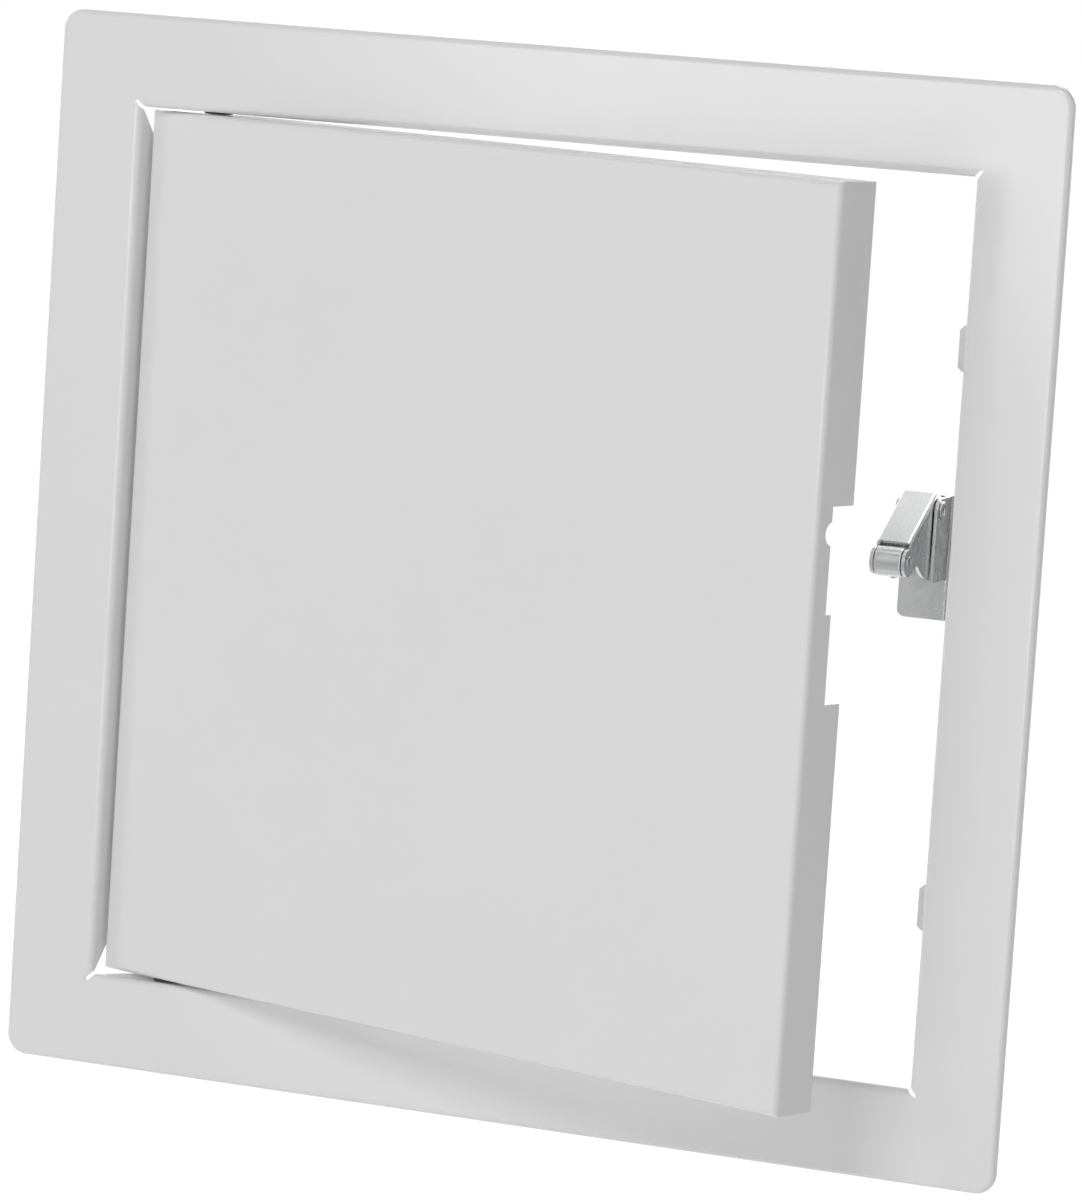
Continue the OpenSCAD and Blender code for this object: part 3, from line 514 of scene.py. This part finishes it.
def makeLatchBase():
    s = latchBase
    bm = bmesh.new()
    r = s["bend"]
    half = (baseHigh.x - baseLow.x) / 2
    low, high, back = baseLow.z, baseHigh.z, baseHigh.y
    for side, ear in ((-1, s["innerEarR"]), (1, s["earR"])):
        x, top = leverSpot.x + side * half, leverSpot.z + ear
        outline = [(back - r, low), (back - r, top)]
        outline += arc(leverSpot.y, leverSpot.z, ear, 90, 180, 12) + [(leverSpot.y - ear, low)]
        panel(bm, outline, [roundHole(leverSpot.y, leverSpot.z, s["pinHoleR"])], lambda y, z: (x, y, z))
        strip(bm, [[(x - side * r * (1 - math.cos(a)), back - r * (1 - math.sin(a)), z) for z in (low, top)]
                   for a in quarter()])
    x0, x1 = leverSpot.x - half + r, leverSpot.x + half - r
    panel(bm, [(x0, low), (x1, low), (x1, high), (x0, high), (x0, leverSpot.z + s["innerEarR"])],
          baseRivetHoles, lambda x, z: (x, back, z))
    return solidPiece("latch_base_strip", bm, "frame", "chrome", "latch_base", s["edge"], Matrix(),
                      s["sheet"], (0, 1, 0))


makeLatchBase()

# Latch lever: a pressed channel whose walls widen into sectors behind the roller
latchLever = {"width": 12.0, "sheet": 1.2, "bend": 1.4, "rollerR": 4.9, "webStart": -2.3, "webGap": 1.0,
              "sectorR": 23.3, "sectorFront": 14.5, "sectorBack": 49.0, "lobeInset": 0.3, "pinHoleR": 2.05,
              "axleHoleR": 1.52, "edge": 0.15}
rollerR = latchLever["rollerR"]
webDip = math.sqrt(rollerR ** 2 - (rollerR - latchLever["sheet"]) ** 2)  # the roller's reach under the web
webEnd = armLength - webDip - latchLever["webGap"]


def makeLever():
    s = latchLever
    bm = bmesh.new()
    r, web, lobe = s["bend"], rollerR, rollerR - s["lobeInset"]
    fold = web - r  # where the walls turn into the web
    x0, x1 = s["webStart"], webEnd
    half = s["width"] / 2
    foldAngle = math.degrees(math.asin(fold / web))
    lobeAngle = math.degrees(math.asin(fold / lobe))
    outline = [(x1, fold), (x0, fold)] + arc(0, 0, web, 180 - foldAngle, 360 - s["sectorBack"], 24)
    outline += arc(0, 0, s["sectorR"], -s["sectorBack"], -s["sectorFront"], 14)
    outline += arc(armLength, 0, lobe, -90, 180 - lobeAngle, 30)
    holes = [roundHole(0, 0, s["pinHoleR"]), roundHole(armLength, 0, s["axleHoleR"], 28)]
    for side in (-1, 1):
        panel(bm, outline, holes, lambda u, v: (u, v, side * half))
        strip(bm, [[(u, web - r * (1 - math.sin(a)), side * (half - r * (1 - math.cos(a)))) for u in (x0, x1)]
                   for a in quarter()])
    panel(bm, [(x0, r - half), (x1, r - half), (x1, half - r), (x0, half - r)], [], lambda u, w: (u, web, w))
    return solidPiece("latch_lever_channel", bm, "latch_lever", "chrome", "latch_lever", s["edge"],
                      leverPlace, s["sheet"], (0, 1, 0))


makeLever()


def lathePiece(name, profile, place, body, slot, node, edge, steps=48, rim=None):
    bm = bmesh.new()
    turned(bm, profile, place, steps, rim)
    return solidPiece(name, bm, body, slot, node, edge)


# Roller: a plated steel sleeve on its own axle
roller = {"sideClear": 0.25, "boreR": 1.55, "edge": 0.45}
rollerHalf = latchLever["width"] / 2 - latchLever["sheet"] - roller["sideClear"]
boreR = roller["boreR"]
profile = [(boreR, -rollerHalf), (rollerR, -rollerHalf), (rollerR, rollerHalf), (boreR, rollerHalf),
           (boreR, -rollerHalf)]
lathePiece("latch_roller_sleeve", profile, along(rollerSpot, sideWay), "latch_roller", "chrome",
           "latch_roller", roller["edge"], 64)

# Axle of the roller: a rivet whose two ends are upset on the walls
axle = {"r": 1.5, "headR": 2.1, "headH": 0.3, "edge": 0.12}
axleEnd = latchLever["width"] / 2
axleTip = axleEnd + axle["headH"]
profile = [(0, -axleTip), (axle["headR"], -axleTip), (axle["headR"], -axleEnd), (axle["r"], -axleEnd),
           (axle["r"], axleEnd), (axle["headR"], axleEnd), (axle["headR"], axleTip), (0, axleTip)]
lathePiece("latch_roller_rivet", profile, along(rollerSpot, sideWay), "latch_lever", "chrome",
           "latch_roller_axle", axle["edge"], 32)

# Pivot pin of the lever: a tube rolled over on the latch side and pressed flush into the inner cheek
pivotPin = {"r": 2.0, "headR": 2.8, "headH": 0.8, "dishR": 1.5, "dish": 0.6, "edge": 0.22}
pinEnd = (baseHigh.x - baseLow.x) / 2
pinTip = pinEnd + pivotPin["headH"]
profile = [(0, pinTip - pivotPin["dish"]), (pivotPin["dishR"], pinTip - pivotPin["dish"]),
           (pivotPin["dishR"], pinTip), (pivotPin["headR"], pinTip), (pivotPin["headR"], pinEnd),
           (pivotPin["r"], pinEnd), (pivotPin["r"], -pinEnd), (0, -pinEnd)]
lathePiece("latch_pivot_tube", profile, along(leverSpot, sideWay), "frame", "chrome", "latch_pivot_pin",
           pivotPin["edge"], 40)
print("latch made")


# Geometry Nodes: one tree sets a piece on points, the other draws a wire along a path
def startTree(name, inputs):
    tree = bpy.data.node_groups.new(name, "GeometryNodeTree")
    tree.interface.new_socket("Geometry", in_out="INPUT", socket_type="NodeSocketGeometry")
    tree.interface.new_socket("Geometry", in_out="OUTPUT", socket_type="NodeSocketGeometry")
    for label, kind in inputs.items():
        tree.interface.new_socket(label, in_out="INPUT", socket_type=kind)
    return tree, addNode(tree, "NodeGroupInput"), addNode(tree, "NodeGroupOutput")


def repeatTree():
    tree, given, result = startTree("repeat_on_points", {
        "Piece": "NodeSocketObject", "Turn": "NodeSocketRotation", "Finish": "NodeSocketMaterial"})
    piece = addNode(tree, "GeometryNodeObjectInfo", {"Object": given.outputs["Piece"]})
    copies = addNode(tree, "GeometryNodeInstanceOnPoints", {
        "Points": given.outputs["Geometry"], "Instance": piece.outputs["Geometry"],
        "Rotation": given.outputs["Turn"]})
    real = addNode(tree, "GeometryNodeRealizeInstances", {"Geometry": copies.outputs["Instances"]})
    painted = addNode(tree, "GeometryNodeSetMaterial", {"Geometry": real.outputs["Geometry"],
                                                        "Material": given.outputs["Finish"]})
    tree.links.new(painted.outputs["Geometry"], result.inputs["Geometry"])
    return tree


def wireTree():
    tree, given, result = startTree("wire_along_path", {
        "Wire radius": "NodeSocketFloat", "Sides": "NodeSocketInt", "Finish": "NodeSocketMaterial"})
    path = addNode(tree, "GeometryNodeMeshToCurve", {"Mesh": given.outputs["Geometry"]})
    ring = addNode(tree, "GeometryNodeCurvePrimitiveCircle", {"Radius": given.outputs["Wire radius"],
                                                              "Resolution": given.outputs["Sides"]})
    wire = addNode(tree, "GeometryNodeCurveToMesh", {
        "Curve": path.outputs["Curve"], "Profile Curve": ring.outputs["Curve"], "Fill Caps": True})
    real = addNode(tree, "GeometryNodeRealizeInstances", {"Geometry": wire.outputs["Mesh"]})
    painted = addNode(tree, "GeometryNodeSetMaterial", {"Geometry": real.outputs["Geometry"],
                                                        "Material": given.outputs["Finish"]})
    tree.links.new(painted.outputs["Geometry"], result.inputs["Geometry"])
    return tree


def grow(name, points, edges, tree, values):  # points or a path, turned into a plain mesh by a tree
    seed = bpy.data.meshes.new(name + "_seed")
    seed.from_pydata(points, edges, [])
    thing = bpy.data.objects.new(name + "_seed", seed)
    bpy.context.scene.collection.objects.link(thing)
    modifier = thing.modifiers.new(tree.name, "NODES")
    modifier.node_group = tree
    for item in tree.interface.items_tree:
        if item.in_out == "INPUT" and item.name in values:
            modifier[item.identifier] = values[item.name]
    mesh = applied(thing)
    bpy.data.objects.remove(thing)
    return mesh


def pattern(name, bm, edge):  # the one copy that a tree repeats, in millimetres
    closeSeams(bm)
    thing = draft(name + "_pattern", bm)
    softenEdges(thing, edge)
    thing.data = applied(thing)
    return thing


def repeatPiece(name, one, spots, way, body, slot, node, place=Matrix()):
    turn = Vector(way).to_track_quat("Z", "Y").to_euler()
    mesh = grow(name, spots, [], repeated, {"Piece": one, "Turn": turn, "Finish": finishes[slot]})
    bpy.data.objects.remove(one)
    mesh.transform(toMetres @ place)
    return finishPiece(name, mesh, body, slot, node)


def wirePiece(name, path, s, body, node):
    links = [(i, i + 1) for i in range(len(path) - 1)]
    mesh = grow(name, path, links, wired, {"Wire radius": s["wire"] / 2, "Sides": s["sides"],
                                           "Finish": finishes["spring_steel"]})
    mesh.transform(toMetres)
    return finishPiece(name, mesh, body, "spring_steel", node)


repeated, wired = repeatTree(), wireTree()


# Pop rivets: a domed head with the mandrel's hole, a shank and an upset tail
domeRings, rivetSteps = 8, 36


def rivetPattern(name, s, grip):
    head, shank, tail, pocket = (s[key] / 2 for key in ("headD", "shank", "tailD", "mandrel"))
    rise = s["headH"]
    ball = (head ** 2 + rise ** 2) / (2 * rise)  # radius of the dome

    def domeAt(r):
        return ball - rise - math.sqrt(ball ** 2 - r ** 2)
    lip, end = domeAt(pocket), grip + s["tailH"]
    rings = [head * k / domeRings for k in range(2, domeRings + 1)]
    profile = [(0, lip + rise / 2), (pocket, lip + rise / 2), (pocket, lip)]
    profile += [(r, domeAt(r)) for r in rings if r > pocket]
    profile += [(shank, 0), (shank, grip), (tail, grip), (tail, end), (0, end)]
    bm = bmesh.new()
    turned(bm, profile, Matrix(), rivetSteps)
    return pattern(name, bm, s["edge"])


bracketGrip = latchBracket["sheet"] + panelFrame["sheet"]
repeatPiece("flap_pop_rivets", rivetPattern("flap_rivet", bracketRivets, bracketGrip),
            [(halfOpen - latchBracket["sheet"], y, z) for y, z in rivetSpots], sideWay, "frame", "zinc",
            "latch_bracket_rivets")
baseGrip = latchBase["sheet"] + latchBracket["sheet"]
repeatPiece("base_pop_rivets", rivetPattern("base_rivet", baseRivets, baseGrip),
            [(leverSpot.x, baseHigh.y - latchBase["sheet"], z) for z in baseRivetZ], (0, 1, 0), "frame",
            "chrome", "latch_base_rivets")

# Springs: the pin's spring has closed end turns, the latch's spring has a leg at each end
pinSpring = {"wire": 0.8, "clear": 0.2, "turns": 9, "closed": 1, "steps": 36, "sides": 14,
             "endRise": 1.02}
latchSpring = {"wire": 0.8, "clear": 0.2, "turns": 5, "pitch": 0.92, "steps": 36, "sides": 14,
               "gap": 0.05}


def makePinSpring():
    s = pinSpring
    low, high = boxOf("hinge_pin_spring")
    r = bush["pin"] / 2 + s["clear"] + s["wire"] / 2
    z0, z1 = low.z + s["wire"] / 2, high.z - s["wire"] / 2
    lead = s["wire"] * s["endRise"]  # rise of a closed end turn
    path = []
    for i in range(s["turns"] * s["steps"] + 1):
        turn, a = i / s["steps"], 2 * math.pi * i / s["steps"]
        if turn <= s["closed"]:
            z = z0 + lead * turn
        elif turn >= s["turns"] - s["closed"]:
            z = z1 - lead * (s["turns"] - turn)
        else:
            share = (turn - s["closed"]) / (s["turns"] - 2 * s["closed"])  # of the open turns
            z = z0 + lead * s["closed"] + (z1 - z0 - 2 * lead * s["closed"]) * share
        path.append((hingeSpot.x + r * math.cos(a), hingeSpot.y + r * math.sin(a), z))
    piece = wirePiece("hinge_pin_coil_spring", path, s, "door", "hinge_pin_spring")
    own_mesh(piece)


def makeLatchSpring():
    s = latchSpring
    r = pivotPin["r"] + s["clear"] + s["wire"] / 2
    gap = s["wire"] / 2 + s["gap"]
    span, steps = s["pitch"] * s["turns"], s["steps"] * s["turns"]
    armAngle = math.atan2(armWay.z, -armWay.y)  # of the arm, from straight forward up
    start = armAngle + math.pi / 2
    wound = 2 * math.pi * s["turns"] + math.pi / 2 - start
    legV = rollerR - latchLever["sheet"] - gap
    legEnd = leverSpot + armWay * (webEnd / 2) + webWay * legV - sideWay * (span / 2)
    coil = []
    for i in range(steps + 1):
        a = start + wound * i / steps
        coil.append(leverSpot + Vector((span * (i / steps - 0.5), -r * math.cos(a), r * math.sin(a))))
    backEnd = leverSpot + Vector((span / 2, baseHigh.y - latchBase["sheet"] - gap - leverSpot.y, r))
    piece = wirePiece("latch_coil_spring", [legEnd] + coil + [backEnd], s, None, "latch_torsion_spring")
    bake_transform(piece)


makePinSpring()
makeLatchSpring()
print("rivets and springs made")

# Hinge bushes: flanged, pressed into the flaps
axisPlace = Matrix.Translation((hingeSpot.x, hingeSpot.y, 0))
pinR = bush["pin"] / 2
for node, side in (("hinge_bush_top", 1), ("hinge_bush_bottom", -1)):
    low, high = sorted(abs(corner.z) for corner in boxOf(node))
    boreR, flangeR = pinR + bush["play"], bushR + bush["flange"]
    profile = [(boreR, low), (flangeR, low), (flangeR, halfOpen), (bushR, halfOpen), (bushR, high),
               (boreR, high), (boreR, low)]
    lathePiece(node + "_moulding", [(r, side * h) for r, h in profile], axisPlace, "frame", "black_nylon",
               node, bush["edge"])

# Hinge pins: the lower one is riveted in its bracket, the upper one slides and has a collar for its spring
hingeBracket = {"width": 34.0, "depth": 15.0, "sheet": 1.5, "bend": 2.4, "topEar": 145.3, "lowEar": 116.3,
                "baseEar": -144.8, "baseHeight": 24.0, "cornerR": 4.0, "studSide": 12.0, "studHoleR": 2.25,
                "edge": 0.2}
hingePins = {"collarR": 4.0, "collarT": 2.0, "headH": 1.6, "chamfer": 0.6, "edge": 0.15, "seat": 0.02}
low, high = (corner.z for corner in boxOf("hinge_pin_bottom"))
neck = high - hingePins["headH"]
collarR, tipR = hingePins["collarR"], pinR - hingePins["chamfer"]
profile = [(0, low), (tipR, low), (pinR, low + hingePins["chamfer"]), (pinR, neck), (collarR, neck),
           (collarR, high), (0, high)]
lathePiece("hinge_pin_lower", profile, axisPlace, "door", "zinc", "hinge_pin_bottom", hingePins["edge"])
low, high = (corner.z for corner in boxOf("hinge_pin_top"))
collarTop = hingeBracket["topEar"] - hingeBracket["sheet"] - hingePins["seat"]
collarLow = collarTop - hingePins["collarT"]
profile = [(0, low), (pinR, low), (pinR, collarLow), (collarR, collarLow), (collarR, collarTop),
           (pinR, collarTop), (pinR, high - hingePins["chamfer"]), (tipR, high), (0, high)]
lathePiece("hinge_pin_upper", profile, axisPlace, "hinge_pin", "zinc", "hinge_pin_top", hingePins["edge"])

# Pull knob: waisted, with grip ribs on its lower barrel
knob = {"r": 5.5, "boreR": 2.52, "foot": 0.35, "waistLow": 0.5, "waistHigh": 0.75, "shoulder": 0.85,
        "bore": 0.7, "ribs": 20, "ribDepth": 0.35, "edge": 0.3}
low, high = (corner.z for corner in boxOf("hinge_pin_knob"))
tall = high - low
waistR = (knob["r"] + knob["boreR"]) / 2


def knobRib(r, h, a):  # grooves round the barrel
    onBarrel = r > waistR and h < low + tall * knob["waistLow"]
    return -knob["ribDepth"] * (0.5 - 0.5 * math.cos(knob["ribs"] * a)) if onBarrel else 0


boreEnd = high - tall * knob["bore"]
profile = [(0, low), (knob["r"], low), (knob["r"], low + tall * knob["foot"]),
           (waistR, low + tall * knob["waistLow"]), (waistR, low + tall * knob["waistHigh"]),
           (knob["r"], low + tall * knob["shoulder"]), (knob["r"], high), (knob["boreR"], high),
           (knob["boreR"], boreEnd), (0, boreEnd)]
lathePiece("hinge_pin_pull_knob", profile, axisPlace, "hinge_pin", "black_nylon", "hinge_pin_knob",
           knob["edge"], 160, knobRib)

# Hinge brackets: folded strip on the door's inside, with round-cornered ears for the pins
doorInner = frontY + doorPan["sheet"]
topStudZ = (hingeBracket["topEar"] + hingeBracket["lowEar"]) / 2
baseStudZ = hingeBracket["baseEar"] + hingeBracket["sheet"] + hingeBracket["baseHeight"] / 2


def addEar(bm, s, z, side):  # an ear bent back from the plate, its outer face at z
    x, half, r, c = hingeSpot.x, s["width"] / 2, s["bend"], s["cornerR"]
    y0, y1 = doorInner + r, doorInner + s["depth"]
    strip(bm, [[(x + u, y0 - r * math.cos(a), z - side * r * (1 - math.sin(a))) for u in (-half, half)]
               for a in quarter()])
    outline = [(x - half, y0), (x + half, y0)] + arc(x + half - c, y1 - c, c, 0, 90, 8)
    outline += arc(x - half + c, y1 - c, c, 90, 180, 8)
    panel(bm, outline, [roundHole(hingeSpot.x, hingeSpot.y, pinR + bush["play"])], lambda u, y: (u, y, z))


def makeHingeBracket(name, node, plateLow, plateHigh, ears, studZ):
    s = hingeBracket
    bm = bmesh.new()
    x, half = hingeSpot.x, s["width"] / 2
    holes = [roundHole(x + side * s["studSide"], studZ, s["studHoleR"]) for side in (-1, 1)]
    outline = [(x - half, plateLow), (x + half, plateLow), (x + half, plateHigh), (x - half, plateHigh)]
    panel(bm, outline, holes, lambda u, z: (u, doorInner, z))
    for z, side in ears:
        addEar(bm, s, z, side)
    return solidPiece(name, bm, "door", "zinc", node, s["edge"], hung, s["sheet"], (0, -1, 0))


makeHingeBracket("hinge_strap_upper", "hinge_bracket_top", hingeBracket["lowEar"] + hingeBracket["bend"],
                 hingeBracket["topEar"] - hingeBracket["bend"],
                 [(hingeBracket["topEar"], 1), (hingeBracket["lowEar"], -1)], topStudZ)
makeHingeBracket("hinge_strap_lower", "hinge_bracket_bottom", hingeBracket["baseEar"] + hingeBracket["bend"],
                 hingeBracket["baseEar"] + hingeBracket["baseHeight"], [(hingeBracket["baseEar"], -1)],
                 baseStudZ)
print("hinges made")

# Strike: foot on the door, tongue under the lever, lip that the roller hooks, and a folded gusset
strike = {"footWidth": 20.0, "footHeight": 32.0, "top": 5.2, "tongue": 8.0, "lip": 8.0, "gap": 0.7,
          "sheet": 1.5, "bend": 2.0, "lipBend": 0.6, "relief": 0.6, "edge": 0.2}


def makeStrike():
    s = strike
    bm = bmesh.new()
    r, half, neck = s["bend"], s["footWidth"] / 2, s["tongue"] / 2
    x, y, top = leverSpot.x, doorInner, s["top"]
    low = top - s["sheet"] - s["footHeight"]
    reach = s["footHeight"] / 2  # of the gusset
    slant = top - reach + r  # where the gusset's bend starts
    shut = leverSpot + Matrix.Rotation(leverTravel, 3, "X") @ (rollerSpot - leverSpot)
    lipY = shut.y + rollerR + s["gap"]
    slot, slotEnd = neck + s["relief"], slant - s["relief"]  # relief cuts beside the bends
    outline = [(-half, low), (half, low), (half, top), (slot, top), (slot, top - r), (neck, top - r),
               (-neck, top - r), (-slot, top - r), (-slot, top), (r - half, top), (r - half, slant),
               (r - half, slotEnd), (-half, slotEnd)]
    holes = [roundHole(0, z, hingeBracket["studHoleR"]) for z in strikeStudZ]
    panel(bm, outline, holes, lambda u, z: (x + u, y, z))
    tongue = [(y + r * (1 - math.cos(a)), top - r * (1 - math.sin(a))) for a in quarter()]
    c = s["lipBend"]
    tongue += [(lipY - c * (1 - math.sin(a)), top + c * (1 - math.cos(a))) for a in quarter()]
    tongue.append((lipY, top + s["lip"]))
    strip(bm, [[(x + u, py, pz) for u in (-neck, neck)] for py, pz in tongue])
    strip(bm, [[(x - half + r * (1 - math.sin(a)), y + r * (1 - math.cos(a)), z) for z in (slant, top)]
               for a in quarter()])
    panel(bm, [(y + r, slant), (y + reach, top), (y + r, top)], [], lambda py, pz: (x - half, py, pz))
    return solidPiece("strike_hook", bm, "door", "zinc", "strike_bracket", s["edge"], hung, s["sheet"],
                      (0, -1, 0))


strikeStudZ = [strike["top"] - strike["sheet"] - strike["footHeight"] * k / 4 for k in (1, 3)]
makeStrike()

# Weld studs and their nuts: real threads, chamfered hexagons
stud = {"r": 2.0, "length": 7.5, "pitch": 0.7, "threadDepth": 0.38, "chamfer": 0.5, "collar": 0.7,
        "rowsPerTurn": 6, "steps": 24}
nut = {"flats": 7.0, "height": 3.2, "boreR": 2.02, "rimShare": 1.02, "chamferSlope": 2, "steps": 72,
       "rows": (0, 0.03, 0.07, 0.12, 0.18, 0.5, 0.82, 0.88, 0.93, 0.97, 1)}
studSpots = [(hingeSpot.x + side * hingeBracket["studSide"], doorInner, z) for z in (topStudZ, baseStudZ)
             for side in (-1, 1)] + [(leverSpot.x, doorInner, z) for z in strikeStudZ]


def studPattern(s):
    bm = bmesh.new()
    rows = round(s["length"] / s["pitch"] * s["rowsPerTurn"])

    def thread(r, h, a):
        if r < s["r"] or h < s["collar"]:
            return 0
        wave = abs(((h / s["pitch"] - a / (2 * math.pi)) % 1) * 2 - 1)
        lead = min(1, (s["length"] - h) / s["chamfer"])
        return -s["threadDepth"] * max(wave, 1 - lead)
    heights = [s["length"] * i / rows for i in range(rows + 1)]
    turned(bm, [(0, 0)] + [(s["r"], h) for h in heights] + [(0, s["length"])], Matrix(), s["steps"], thread)
    return pattern("weld_stud", bm, 0)


def nutPattern(s):
    bm = bmesh.new()
    flat, tall = s["flats"] / 2, s["height"]
    rim = flat * s["rimShare"]  # the chamfer's circle on the end faces
    corner = 2 * flat  # past the hexagon's corners, which cut it back

    def hexagon(r, h, a):
        if r < rim:
            return 0
        side = flat / math.cos((a + math.pi / 6) % (math.pi / 3) - math.pi / 6)
        drop = min(h, tall - h)
        return min(side, rim + drop * s["chamferSlope"]) - r
    bore = s["boreR"]
    profile = [(bore, 0)] + [(corner, tall * k) for k in s["rows"]] + [(bore, tall), (bore, 0)]
    turned(bm, profile, Matrix(), s["steps"], hexagon)
    return pattern("stud_nut", bm, 0)


repeatPiece("door_weld_studs", studPattern(stud), studSpots, (0, 1, 0), "door", "copper_flash", "weld_studs",
            hung)
nutSpots = [(x, y + hingeBracket["sheet"], z) for x, y, z in studSpots]
repeatPiece("door_stud_nuts", nutPattern(nut), nutSpots, (0, 1, 0), "door", "zinc", "stud_nuts", hung)
print("strike, studs and nuts made")

# Camera, at the angle from which the panel is seen
lens = {"place": (0.797495, -1.935383, 0.243330), "right": (0.92090391, 0.38431304, 0.06511128),
        "down": (0.10483123, -0.08330329, -0.99099494), "focalPx": 6420.93, "tallPx": 1200, "sensorMm": 36.0}
right, down = Vector(lens["right"]), Vector(lens["down"])
camera = bpy.data.objects.new("camera", bpy.data.cameras.new("camera"))
bpy.context.scene.collection.objects.link(camera)
camera.matrix_world = (Matrix.Translation(lens["place"])
                       @ Matrix((right, -down, -right.cross(down))).transposed().to_4x4())
camera.data.sensor_width = lens["sensorMm"]
camera.data.lens = lens["focalPx"] / lens["tallPx"] * lens["sensorMm"]
camera.data.clip_end = 100
bpy.context.scene.camera = camera

# Stage: a pale floor well below the panel, a white surround and soft lamps
studio = {"floorZ": -0.46, "floorHalf": 30.0, "floor": "#f2f2f2", "ambient": 0.17, "floorWhite": 0.9,
          "floorGlow": 1.11}
lamps = [
    {"name": "key_box", "place": (0, -2.7, 1.7), "aim": (0, 0, 0), "size": 1.0, "watts": 27},
    {"name": "gloss_box", "place": (-0.7, -2.15, 0.26), "aim": (0.08, 0, 0.2), "size": 0.58, "watts": 4.0},
    {"name": "low_box", "place": (-0.1, -2.3, -0.25), "aim": (0, 0, -0.1), "size": 0.6, "watts": 6},
    {"name": "left_box", "place": (-2.2, -1.5, 1.5), "aim": (0, 0, 0), "size": 1.6, "watts": 10},
    {"name": "right_box", "place": (2.6, -0.6, 0.5), "aim": (0, 0, 0), "size": 1.4, "watts": 2.8},
    {"name": "rear_right_box", "place": (1.0, 2.4, 0.9), "aim": (0, 0, 0), "size": 1.8, "watts": 40},
    {"name": "rear_left_box", "place": (-1.0, 2.4, 0.9), "aim": (0, 0, 0), "size": 1.8, "watts": 10},
    {"name": "top_box", "place": (0.2, 1.3, 2.8), "aim": (0, 0, 0), "size": 1.4, "watts": 20},
]


def raysThatSeeWhite(tree):  # the background is white to the eye and in reflections, and dim as a lamp
    path = addNode(tree, "ShaderNodeLightPath").outputs
    seen = path["Is Camera Ray"]
    for kind in ("Is Glossy Ray", "Is Transmission Ray"):
        seen = addNode(tree, "ShaderNodeMath", {0: seen, 1: path[kind]}, operation="MAXIMUM").outputs["Value"]
    return seen


def makeStage():
    world = bpy.data.worlds.new("surround")
    bpy.context.scene.world = world
    world.use_nodes = True
    tree = world.node_tree
    tree.nodes.clear()
    dim = addNode(tree, "ShaderNodeBackground", {"Color": (1, 1, 1, 1), "Strength": studio["ambient"]})
    white = addNode(tree, "ShaderNodeBackground", {"Color": (1, 1, 1, 1), "Strength": 1.0})
    both = addNode(tree, "ShaderNodeMixShader", {0: raysThatSeeWhite(tree), 1: dim.outputs["Background"],
                                                 2: white.outputs["Background"]})
    addNode(tree, "ShaderNodeOutputWorld", {"Surface": both.outputs["Shader"]})
    for lamp in lamps:
        light = bpy.data.lights.new(lamp["name"], "AREA")
        light.size = lamp["size"]
        light.energy = lamp["watts"]
        thing = bpy.data.objects.new(lamp["name"], light)
        thing.location = lamp["place"]
        way = Vector(lamp["aim"]) - Vector(lamp["place"])
        thing.rotation_euler = way.to_track_quat("-Z", "Y").to_euler()
        thing.visible_camera = False
        bpy.context.scene.collection.objects.link(thing)


def makeFloor():
    paint = bpy.data.materials.new("studio_floor_paint")
    paint.use_nodes = True
    tree = paint.node_tree
    tree.nodes.clear()
    matt = addNode(tree, "ShaderNodeBsdfDiffuse", {"Color": linearColour(studio["floor"])})
    glow = addNode(tree, "ShaderNodeEmission", {"Color": (1, 1, 1, 1), "Strength": studio["floorGlow"]})
    share = addNode(tree, "ShaderNodeMath", {0: raysThatSeeWhite(tree), 1: studio["floorWhite"]},
                    operation="MULTIPLY")
    both = addNode(tree, "ShaderNodeMixShader", {0: share.outputs["Value"], 1: matt.outputs["BSDF"],
                                                 2: glow.outputs["Emission"]})
    addNode(tree, "ShaderNodeOutputMaterial", {"Surface": both.outputs["Shader"]})
    bm = bmesh.new()
    h, z = studio["floorHalf"], studio["floorZ"]
    bm.faces.new([bm.verts.new(p) for p in ((-h, -h, z), (h, -h, z), (h, h, z), (-h, h, z))])
    floor = draft("studio_floor", bm)
    floor.data.materials.append(paint)


makeStage()
makeFloor()
bpy.context.scene.view_settings.view_transform = "Standard"
print("stage made")
